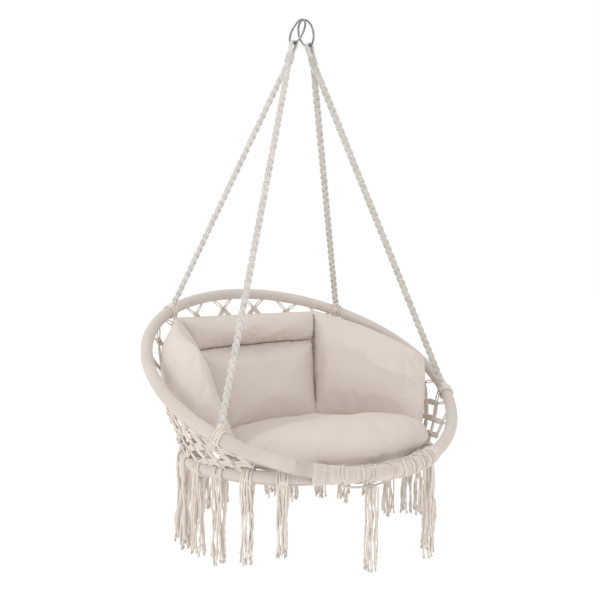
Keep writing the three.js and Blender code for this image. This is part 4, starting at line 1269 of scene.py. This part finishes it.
@dataclass
class LooseCord:
    """The cord that hangs in a shallow bight under the lashing and carries a tassel of its own."""

    start: float = -108.4
    end: float = -84.7
    sag: float = 0.007
    tuck: float = 0.003
    diameter: float = 0.005
    tassel_place: float = -94.0
    tassel_length: float = 0.195
    lashed: float = 0.003  # thickness of the lashing solid under the seat hoop
    gap: float = 0.0003  # between neighbouring solids

    def place(self, degrees: Array) -> Array:
        """The cord's line: a parabola hung below the seat hoop's lashing, its ends tucked up to it."""
        share = (np.asarray(degrees, float) - self.start) / (self.end - self.start)
        lashing = (SLEEVE_RADIUS + self.gap + self.lashed) / math.cos(math.pi / 10)
        drop = lashing + self.gap + self.diameter / 2 + self.sag * 4 * share * (1 - share)
        drop = drop - self.tuck * (2 * share - 1) ** 8
        return SEAT.place(degrees) + DOWN * np.asarray(drop)[..., None]

    def build(self) -> None:
        """Makes the cord, then the tassel on it."""
        line = self.place(np.linspace(self.start, self.end, 30))
        bight = tubes(line, self.diameter / 2, -DOWN, 10)
        cord = make_piece("loose_bight", bight, ROPE_COTTON, Slot.CORD, Body.SEAT, "loose_cord")
        top = self.place(self.tassel_place) + DOWN * (self.diameter / 2 + 0.0005)
        Tassel("tassel_on_bight", "loose_tassel", self.tassel_place, self.tassel_length, top=top,
               cords=8).build()


TASSEL_PLACES = (
    (-50, 1.2), (-38, 0.975), (-18, 0.95), (-5, 1.0), (9, 1.125), (22, 0.95), (36, 1.025),
    (49, 1.0), (63, 1.025), (76, 0.95), (90, 1.0), (104, 0.925), (117, 0.975), (131, 1.025),
    (144, 0.975), (158, 1.025), (171, 1.0), (185, 0.95), (199, 0.975), (213, 0.925), (228, 0.8),
)  # degrees round the seat hoop, and the share of the usual length
TASSEL_LENGTH = 0.200


# ---------------------------------------------------------------- cushions


CUSHION_HEIGHT = 0.310
WING_THICKNESS = 0.076
STANDING_KEEP = 0.3  # of a standing cushion's height when the seat is folded up


def sheet_place(rows: Array, u: Array, v: Array) -> Array:
    """A place on the curved sheet through three by three given ones, by Lagrange's quadratic weights."""
    def weights(t: Array) -> Array:
        """The three weights of a share from 0 to 1."""
        return np.stack([(1 - t) * (1 - 2 * t), 4 * t * (1 - t), t * (2 * t - 1)], axis=-1)
    return np.einsum("...i,...j,ijk->...k", weights(v), weights(u), rows)


def flatten_in_fold(piece: bpy.types.Object) -> None:
    """Gives a piece of the cushion set a mesh of its own."""
    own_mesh(piece)


def between_hoops(shares: Array, side: float) -> Array:
    """Shares of the room between the hoops at each height, as places."""
    taken = SLEEVE_RADIUS + WING_THICKNESS / 2
    height = shares[..., 2]
    room = SEAT.radius - taken + (MAIN.radius - SEAT.radius) * height
    middle = SEAT.centre[1] + (MAIN.centre[1] - SEAT.centre[1]) * height
    x, y = side * shares[..., 0] * room, middle + shares[..., 1] * room
    return np.stack([x, y, SEAT.centre[2] + height * CUSHION_HEIGHT], axis=-1)


@dataclass
class Cushion:
    """A stuffed piece of the cushion set: two sheets of canvas sewn together along one outline.

    Each sheet lies off the middle one by a fullness that is nothing at the seam and one in the middle,
    the root of the product of two rounded edges. Puckers run square to the seam and die away from it,
    soft hollows wander over the faces, and a short cloth simulation lets the canvas settle.
    """

    name: str
    node: str
    keep: float | None
    fill: float
    grid: int = 64
    roundness: float = 2.6
    pucker: float = 0.0014
    pucker_wave: float = 0.014
    pucker_reach: float = 0.020  # from the seam
    hollow: float = 0.0016
    hollow_wave: float = 0.085
    overreach: float = 0.006  # of the canvas past the outline through the places
    seed: int = 1

    def reached(self, rows: Array, u: Array, v: Array) -> tuple[Array, Array, float, float]:
        """Shares stretched about their middle by the overreach, and the sheet's width and height."""
        width, height = distance(rows[1][0], rows[1][2]), distance(rows[0][1], rows[2][1])
        a = 0.5 + (u - 0.5) * (1 + 2 * self.overreach / width)
        b = 0.5 + (v - 0.5) * (1 + 2 * self.overreach / height)
        return a, b, width, height

    def sheets(self, u: Array, v: Array) -> tuple[Array, Array, Array]:
        """The middle sheet's places, and how far the upper and the lower sheet stand off it as vectors."""
        raise NotImplementedError

    def fullness(self, u: Array, v: Array) -> Array:
        """Nothing at the seam, one in the middle, with a round edge."""
        edge_u = 1 - np.abs(2 * u - 1) ** self.roundness
        edge_v = 1 - np.abs(2 * v - 1) ** self.roundness
        return np.sqrt(np.clip(edge_u * edge_v, 0, None))

    def surface(self) -> tuple[Surface, Array]:
        """The closed skin, and which of its points are on the seam."""
        n = self.grid
        even = np.linspace(0, 1, n + 1)
        t = 0.35 * even + 0.65 * (1 - np.cos(np.pi * even)) / 2
        u, v = np.meshgrid(t, t, indexing="xy")
        middle, upper, lower = self.sheets(u, v)
        width, height = (float(steps_of(line).sum()) for line in (middle[n // 2], middle[:, n // 2]))
        to_seam = np.minimum(np.minimum(u, 1 - u) * width, np.minimum(v, 1 - v) * height)
        skins = []
        for side, stand in enumerate((upper, lower)):
            puckers = soft_field(middle, self.pucker_wave, self.seed * 10 + side)
            puckers = puckers * np.exp(-to_seam / self.pucker_reach)
            puckers = puckers * (1 - np.exp(-to_seam / 0.004)) * self.pucker
            hollows = soft_field(middle, self.hollow_wave, self.seed * 10 + side + 5)
            hollows = hollows * self.hollow * self.fullness(u, v)
            skins.append(middle + stand + unit(stand + 1e-9) * (puckers + hollows)[..., None])
        rim = (u == 0) | (u == 1) | (v == 0) | (v == 1)
        numbers = np.arange((n + 1) ** 2).reshape(n + 1, n + 1)
        inner = ~rim
        under = numbers.copy()
        under[inner] = (n + 1) ** 2 + np.arange(inner.sum())
        points = np.concatenate([skins[0].reshape(-1, 3), skins[1][inner]])
        flat = np.stack([u * width, v * height], axis=-1)
        corners = cells(n, n)
        quads, uv = [], []
        for sheet, order in ((numbers, corners), (under, corners[::-1])):
            quads.append(np.stack([sheet[c] for c in order], axis=-1).reshape(-1, 4))
            uv.append(np.stack([flat[c] for c in order], axis=-2).reshape(-1, 4, 2))
        quads, uv = np.concatenate(quads), np.concatenate(uv)
        a, b, c = (points[quads[:, k]] for k in range(3))
        volume = np.einsum("ij,ij->i", a, np.cross(b, c)).sum()
        if volume < 0:
            quads, uv = quads[:, ::-1], uv[:, ::-1]
        seam = np.zeros(len(points), bool)
        seam[: (n + 1) ** 2] = rim.ravel()
        return Surface(points, quads, uv), seam

    def build(self) -> tuple[bpy.types.Object, Array]:
        """Makes the piece, still unsettled, and returns it with its seam points."""
        surface, seam = self.surface()
        return make_piece(self.name, surface, CUSHION_CANVAS, Slot.CANVAS), seam

    def place_on(self, piece: bpy.types.Object) -> None:
        """Lets the finished piece ride and stand for its CAD node, and gives a standing one a mesh of its
        own.
        """
        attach(piece, Body.CUSHION.value)
        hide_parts(self.node)
        if self.keep is not None:
            flatten_in_fold(piece)


@dataclass
class StandingCushion(Cushion):
    """A cushion that stands round the back or a side."""

    shares: tuple = ()
    side: float = 1.0
    thickness: float = 0.08
    bow: float = 0.004  # of each edge inwards, in its middle

    def sheets(self, u: Array, v: Array) -> tuple[Array, Array, Array]:
        """The sheet through its places, and the same half thickness either way along its own normal."""
        rows = between_hoops(np.array(self.shares, float), self.side)
        a, b, width, height = self.reached(rows, u, v)
        a = a + (self.bow / width) * 4 * v * (1 - v) * (1 - 2 * u)
        b = b + (self.bow / height) * 4 * u * (1 - u) * (1 - 2 * v)
        middle = sheet_place(rows, a, b)
        along = sheet_place(rows, a + 0.01, b) - sheet_place(rows, a - 0.01, b)
        upwards = sheet_place(rows, a, b + 0.01) - sheet_place(rows, a, b - 0.01)
        face = unit(np.cross(along, upwards))
        half = (self.thickness / 2 * self.fullness(u, v))[..., None]
        return middle, face * half, -face * half


@dataclass
class LyingCushion(Cushion):
    """A cushion that lies on the seat net, its underside on the net's dish."""

    shares: tuple = ()
    crown: float = 0.066
    seam_height: float = 0.030
    over_net: float = 0.0035

    def sheets(self, u: Array, v: Array) -> tuple[Array, Array, Array]:
        """The plan through its places at the seam's height, up to the crown and down to the net."""
        plan = np.array(self.shares, float) * SEAT.radius
        rows = np.concatenate([plan, np.zeros((3, 3, 1))], axis=-1)
        a, b, _, _ = self.reached(rows, u, v)
        flat = sheet_place(rows, a, b)
        radius = np.hypot(flat[..., 0], flat[..., 1])
        net = self.over_net - NET_SAG * (1 - (radius / NET_RIM) ** 2)
        full = self.fullness(u, v)
        up = (self.crown - self.seam_height) * full
        down = np.minimum((net - self.seam_height) * full, 0.0)
        middle = (np.array(SEAT.centre) + flat[..., :1] * ACROSS + flat[..., 1:2] * SEAT.back
                  + SEAT.normal * self.seam_height)
        return middle, SEAT.normal * up[..., None], SEAT.normal * down[..., None]


BACK_PANEL = (
    ((-0.522, 0.612, 0.1), (0, 0.648, 0.1), (0.53, 0.612, 0.1)),
    ((-0.582, 0.722, 0.42), (0, 0.78, 0.425), (0.585, 0.728, 0.43)),
    ((-0.616, 0.776, 0.737), (0, 0.83, 0.757), (0.61, 0.785, 0.767)),
)
BACK_ROLL = (
    ((-0.616, 0.775, 0.739), (0, 0.829, 0.759), (0.609, 0.784, 0.769)),
    ((-0.643, 0.764, 0.87), (0, 0.829, 0.885), (0.609, 0.776, 0.89)),
    ((-0.68, 0.745, 1.0), (0, 0.81, 1.01), (0.6, 0.776, 1.005)),
)
RIGHT_WING = (
    ((0.541, 0.624, 0.1), (0.866, 0.226, 0.1), (0.996, -0.496, 0.13)),
    ((0.578, 0.699, 0.57), (0.91, 0.27, 0.52), (0.988, -0.417, 0.45)),
    ((0.6, 0.747, 1.01), (0.903, 0.328, 0.885), (0.915, -0.363, 0.73)),
)
LEFT_WING = (
    ((0.526, 0.624, 0.1), (0.866, 0.226, 0.1), (0.996, -0.496, 0.13)),
    ((0.585, 0.699, 0.54), (0.97, 0.315, 0.555), (0.984, -0.322, 0.47)),
    ((0.692, 0.75, 1.0), (0.883, 0.26, 0.95), (0.925, -0.06, 0.862)),
)
SEAT_PAD = (
    ((-0.55, 0.46), (0, 0.48), (0.55, 0.46)),
    ((-0.74, 0.08), (0, 0.06), (0.74, 0.08)),
    ((-0.8, -0.27), (0, -0.2), (0.8, -0.27)),
)
FRONT_ROLL = (
    ((-0.8, -0.29), (0, -0.22), (0.8, -0.29)),
    ((-0.84, -0.5), (0, -0.57), (0.84, -0.5)),
    ((-0.68, -0.73), (0, -0.92), (0.68, -0.73)),
)


@dataclass(frozen=True)
class SewnSeam:
    """Where two cushions are sewn to each other: a row of stitches down in the crease, their thread made
    dark to paint the crease's shade.

    The crease is found by rays: at each station along the seam a short row of them goes in from the
    front, square to the seam, and the deepest of their hits is on it.
    """

    name: str
    start: tuple[float, float, float]  # shares of the room between the hoops
    middle: tuple[float, float, float]
    end: tuple[float, float, float]
    pitch: float = 0.0068
    stitch: float = 0.0046
    radius: float = 0.0012
    uneven: float = 0.0012  # of a stitch's start
    lengths: tuple[float, float] = (0.6, 1.5)  # of the usual stitch
    lean: float = 0.0008
    lift: float = 0.0030  # towards the front, out of the crease
    search: float = 0.016  # to either side of the line
    reach: float = 0.15  # of the rays, in front of the line and behind it
    default_depth: float = 0.017  # in front of the line, where no ray hits

    def build(self, pieces: list[bpy.types.Object]) -> None:
        """Finds the crease in the finished cushions and makes the stitches."""
        graph = bpy.context.evaluated_depsgraph_get()
        trees = [BVHTree.FromObject(piece, graph) for piece in pieces]
        rows = between_hoops(np.array([[self.start, self.middle, self.end]] * 3, float), 1.0)
        share = np.linspace(0, 1, 60)
        line = sheet_place(rows, share, np.full(60, 0.5))
        along = unit(np.gradient(line, axis=0))
        inward = np.broadcast_to(unit(REARWARD - 0.12 * DOWN), line.shape)
        square = unit(np.cross(along, inward))
        crease = np.stack([self.deepest(trees, *station) for station in zip(line, square, inward)])
        crease[2:-2] = np.median(np.lib.stride_tricks.sliding_window_view(crease, 5, axis=0), axis=-1)
        crease[1:-1] = (crease[:-2] + 2 * crease[1:-1] + crease[2:]) / 4
        run = np.concatenate([[0.0], np.cumsum(steps_of(crease))])
        rng = np.random.default_rng(len(self.name))
        count = int(run[-1] / self.pitch)
        begin = np.linspace(0, run[-1] - self.pitch, count) + rng.uniform(-self.uneven, self.uneven, count)
        length = self.stitch * rng.uniform(*self.lengths, count)
        at = begin[:, None] + length[:, None] * np.linspace(0, 1, 5)
        paths = np.stack([np.interp(at, run, crease[:, axis]) for axis in range(3)], axis=-1)
        lean = rng.uniform(-self.lean, self.lean, count)[:, None] * np.linspace(-1, 1, 5)
        paths = paths + np.mean(square, axis=0) * lean[..., None] - np.mean(inward, axis=0) * self.lift
        stitches = tubes(paths, self.radius, [0.3, 1.0, 0.2], 6)
        # The stitches' dark thread paints the crease's shade.
        piece = make_piece(self.name, stitches, THREAD_DARKENED_AS_CREASE_SHADE, Slot.CANVAS, Body.CUSHION)
        flatten_in_fold(piece)

    def deepest(self, trees: list[BVHTree], place: Array, square: Array, inward: Array) -> Array:
        """The deepest first hit of a short row of rays across the seam."""
        best, depth = place - inward * self.default_depth, 0.0
        for offset in np.linspace(-self.search, self.search, 17):
            origin = Vector(place + square * offset - inward * self.reach)
            hits = [tree.ray_cast(origin, Vector(inward), 2 * self.reach) for tree in trees]
            near = min((hit[3] for hit in hits if hit[0] is not None), default=1.0)
            if depth < near < self.reach:
                best, depth = np.array(origin) + inward * near, near
        return best


BACK_SEAMS = (
    SewnSeam("stitches_across_back", (-0.55, 0.79, 0.744), (0, 0.83, 0.762), (0.54, 0.80, 0.771)),
    SewnSeam("stitches_down_back", (0.553, 0.665, 0.26), (0.587, 0.735, 0.60), (0.606, 0.775, 1.0)),
)


@dataclass
class CushionSet:
    """The sewn cushion set, settled together by one cloth simulation."""

    pressure: float = 2.6
    growth: float = 0.009  # share by which the canvas is cut too large
    limit: float = 0.009  # metres that any point of the canvas may move
    frames: int = 18

    def build(self) -> None:
        """Makes the six cushions, settles their canvas, and places them."""
        cushions = [
            LyingCushion("pad_of_seat", "seat_pad", None, 0.6, seed=2, shares=SEAT_PAD, crown=0.064),
            LyingCushion("roll_of_seat", "seat_front_roll", None, 0.8, seed=3, roundness=3.2,
                         shares=FRONT_ROLL, crown=0.094, seam_height=0.034),
        ]
        for seed, (name, node, fill, shares, side, thickness) in enumerate((
            ("panel_of_back", "back_panel", 0.6, BACK_PANEL, 1.0, 0.082),
            ("roll_of_back", "back_top_roll", 0.7, BACK_ROLL, 1.0, 0.086),
            ("wing_on_right", "right_wing", 0.6, RIGHT_WING, 1.0, 0.078),
            ("wing_on_left", "left_wing", 0.6, LEFT_WING, -1.0, 0.078),
        ), start=4):
            cushions.append(StandingCushion(name, node, STANDING_KEEP, fill, seed=seed, shares=shares,
                                            side=side, thickness=thickness))
        built = [cushion.build() for cushion in cushions]
        self.settle(built)
        pieces = [piece for piece, _ in built]
        for seam in BACK_SEAMS:
            seam.build(pieces)
        for cushion, piece in zip(cushions, pieces):
            cushion.place_on(piece)

    def settle(self, built: list[tuple[bpy.types.Object, Array]]) -> None:
        """Blows the canvas up a little, cut slightly large between seams that keep their length.

        Args:
            built: Each cushion's object, and which of its points are on the seam.
        """
        scene = bpy.context.scene
        for piece, seam in built:
            group = piece.vertex_groups.new(name="seam")
            group.add(np.flatnonzero(seam).tolist(), 1.0, "REPLACE")
            cloth = piece.modifiers.new("Cloth", "CLOTH")
            for key, value in {
                "quality": 4, "mass": 0.25,
                "tension_stiffness": 12, "compression_stiffness": 12, "shear_stiffness": 4,
                "bending_stiffness": 0.4, "tension_damping": 10, "compression_damping": 10,
                "use_pressure": True, "uniform_pressure_force": self.pressure,
                "shrink_min": -self.growth, "shrink_max": -self.growth,
                "vertex_group_mass": "seam", "pin_stiffness": 1,
            }.items():
                setattr(cloth.settings, key, value)
            cloth.settings.effector_weights.gravity = 0
            cloth.point_cache.frame_start = 1
            cloth.point_cache.frame_end = self.frames
        for number in range(1, self.frames + 1):
            scene.frame_set(number)
        graph = bpy.context.evaluated_depsgraph_get()
        for piece, _ in built:
            before = np.empty(len(piece.data.vertices) * 3, np.float32)
            after = before.copy()
            piece.data.vertices.foreach_get("co", before)
            piece.evaluated_get(graph).data.vertices.foreach_get("co", after)
            moved = (after - before).reshape(-1, 3)
            length = np.linalg.norm(moved, axis=1, keepdims=True)
            moved *= np.minimum(1.0, self.limit / np.maximum(length, 1e-9))
            LOG.info("%s settled: canvas would move up to %.1f mm, held to %.1f mm", piece.name,
                     1000 * length.max(), 1000 * self.limit)
            piece.modifiers.clear()
            piece.vertex_groups.clear()
            piece.data.vertices.foreach_set("co", (before.reshape(-1, 3) + moved).ravel())
            piece.data.update()
        scene.frame_set(1)


# ---------------------------------------------------------------- studio


@dataclass
class Studio:
    """The camera at the photograph's angle, a pale paper sweep and soft light."""

    position: tuple[float, float, float] = (-1.0784, -1.6935, -0.551)
    azimuth: float = -32.64
    pitch: float = -3.8
    roll: float = 0.61
    focal: float = 803.7  # pixels
    centre: tuple[float, float] = (301.0, 300.0)
    frame: int = 600
    floor: float = -1.72
    floor_half: float = 14.0
    floor_stations: int = 24
    surround: float = 0.87  # strength of the light around, which the camera sees as 1
    sensor: float = 36.0  # millimetres

    def camera(self) -> None:
        """Makes the camera from its azimuth, pitch, roll and focal length."""
        a, e, r = (math.radians(x) for x in (self.azimuth, self.pitch, self.roll))
        forward = np.array([-math.sin(a) * math.cos(e), math.cos(a) * math.cos(e), math.sin(e)])
        right = np.array([math.cos(a), math.sin(a), 0.0])
        up = np.cross(right, forward)
        right, up = right * math.cos(r) + up * math.sin(r), up * math.cos(r) - right * math.sin(r)
        data = bpy.data.cameras.new("camera")
        data.sensor_width = self.sensor
        data.sensor_fit = "HORIZONTAL"
        data.lens = self.focal / self.frame * self.sensor
        data.shift_x = (self.frame / 2 - self.centre[0]) / self.frame
        data.shift_y = (self.centre[1] - self.frame / 2) / self.frame
        camera = bpy.data.objects.new("camera", data)
        rows = np.column_stack([right, up, -forward])
        camera.matrix_world = Matrix([[*rows[i], self.position[i]] for i in range(3)] + [[0, 0, 0, 1]])
        bpy.context.scene.collection.objects.link(camera)
        bpy.context.scene.camera = camera

    def sweep(self) -> None:
        """A flat paper floor, far larger than the chair."""
        count = self.floor_stations
        steps = np.linspace(-self.floor_half, self.floor_half, count)
        x, y = np.meshgrid(steps, steps, indexing="ij")
        points = np.stack([x, y, np.full_like(x, self.floor)], axis=-1).reshape(-1, 3)
        corners = cells(count - 1, count - 1, other_way=True)
        quads = np.stack([a * count + b for a, b in corners], axis=-1).reshape(-1, 4)
        mesh = bpy.data.meshes.new("floor")
        mesh.from_pydata(points.tolist(), [], quads.tolist())
        mesh.materials.append(PAPER.material())
        floor = bpy.data.objects.new("floor", mesh)
        bpy.context.scene.collection.objects.link(floor)

    def lights(self) -> None:
        """A white surround, a soft key from the left, and soft boxes in front and above."""
        scene = bpy.context.scene
        scene.view_settings.view_transform = "Standard"
        world = bpy.data.worlds.new("surround")
        scene.world = world
        world.use_nodes = True
        background = world.node_tree.nodes["Background"]
        nodes, links = world.node_tree.nodes, world.node_tree.links
        seen, level = nodes.new("ShaderNodeLightPath"), nodes.new("ShaderNodeMath")
        level.operation = "MULTIPLY_ADD"
        level.inputs[1].default_value = 1.0 - self.surround
        level.inputs[2].default_value = self.surround
        links.new(seen.outputs["Is Camera Ray"], level.inputs[0])
        links.new(level.outputs[0], background.inputs["Strength"])
        background.inputs["Color"].default_value = (1.0, 1.0, 1.0, 1)
        for name, place, size, power in (
            ("box_left", (-2.7, 0.9, 0.5), 1.5, 27.0),
            ("box_front", (-0.2, -3.2, 0.4), 1.6, 17.0),
            ("box_over", (0.2, 0.3, 1.9), 1.8, 7.0),
        ):
            data = bpy.data.lights.new(name, "AREA")
            data.shape = "SQUARE"
            data.size = size
            data.energy = power
            light = bpy.data.objects.new(name, data)
            light.location = place
            aim = Vector((0.0, 0.0, -0.9)) - Vector(place)
            light.rotation_euler = aim.to_track_quat("-Z", "Y").to_euler()
            scene.collection.objects.link(light)

    def build(self) -> None:
        """Sets the camera, the floor and the lights."""
        self.camera()
        self.sweep()
        self.lights()


# ---------------------------------------------------------------- the chair


def dress_tubes() -> None:
    """Gives the steel tubes inside the sleeves their coat."""
    for name in ("main_hoop_tube", "seat_hoop_tube"):
        node = frame["nodes"][name]
        node.data.materials.clear()
        node.data.materials.append(TUBE_COAT.material())
        LOG.info("%s: dressed", name)


def main() -> None:
    """Builds the studio, then the chair from its cords to its cushions."""
    logging.basicConfig(level=logging.INFO, format="%(message)s")
    Studio().build()
    LooseCord().build()
    for number, (degrees, share) in enumerate(TASSEL_PLACES, start=1):
        Tassel(f"strands_{number:02d}", f"tassel_{number:02d}", degrees, TASSEL_LENGTH * share).build()
    for label, side in (("left", -1), ("right", 1)):
        RingHitch(label, side).build()
    for place, label, degrees, turned in (
        ("front", "left", 212.5, 20.0), ("front", "right", 337.7, 35.0),
        ("back", "left", 127.5, 10.0), ("back", "right", 45.0, 50.0),
    ):
        PlaitedRope(place, label, degrees, turned).build()
    dress_tubes()
    HoopSleeve("sleeve_of_main_hoop", MAIN, Body.CHAIR, "main_hoop_sleeve").build()
    HoopSleeve("sleeve_of_seat_hoop", SEAT, Body.SEAT, "seat_hoop_sleeve").build()
    FrontLashing().build()
    SideNet().build()
    SeatNet().build()
    CushionSet().build()
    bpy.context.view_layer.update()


if __name__ == "__main__":
    main()
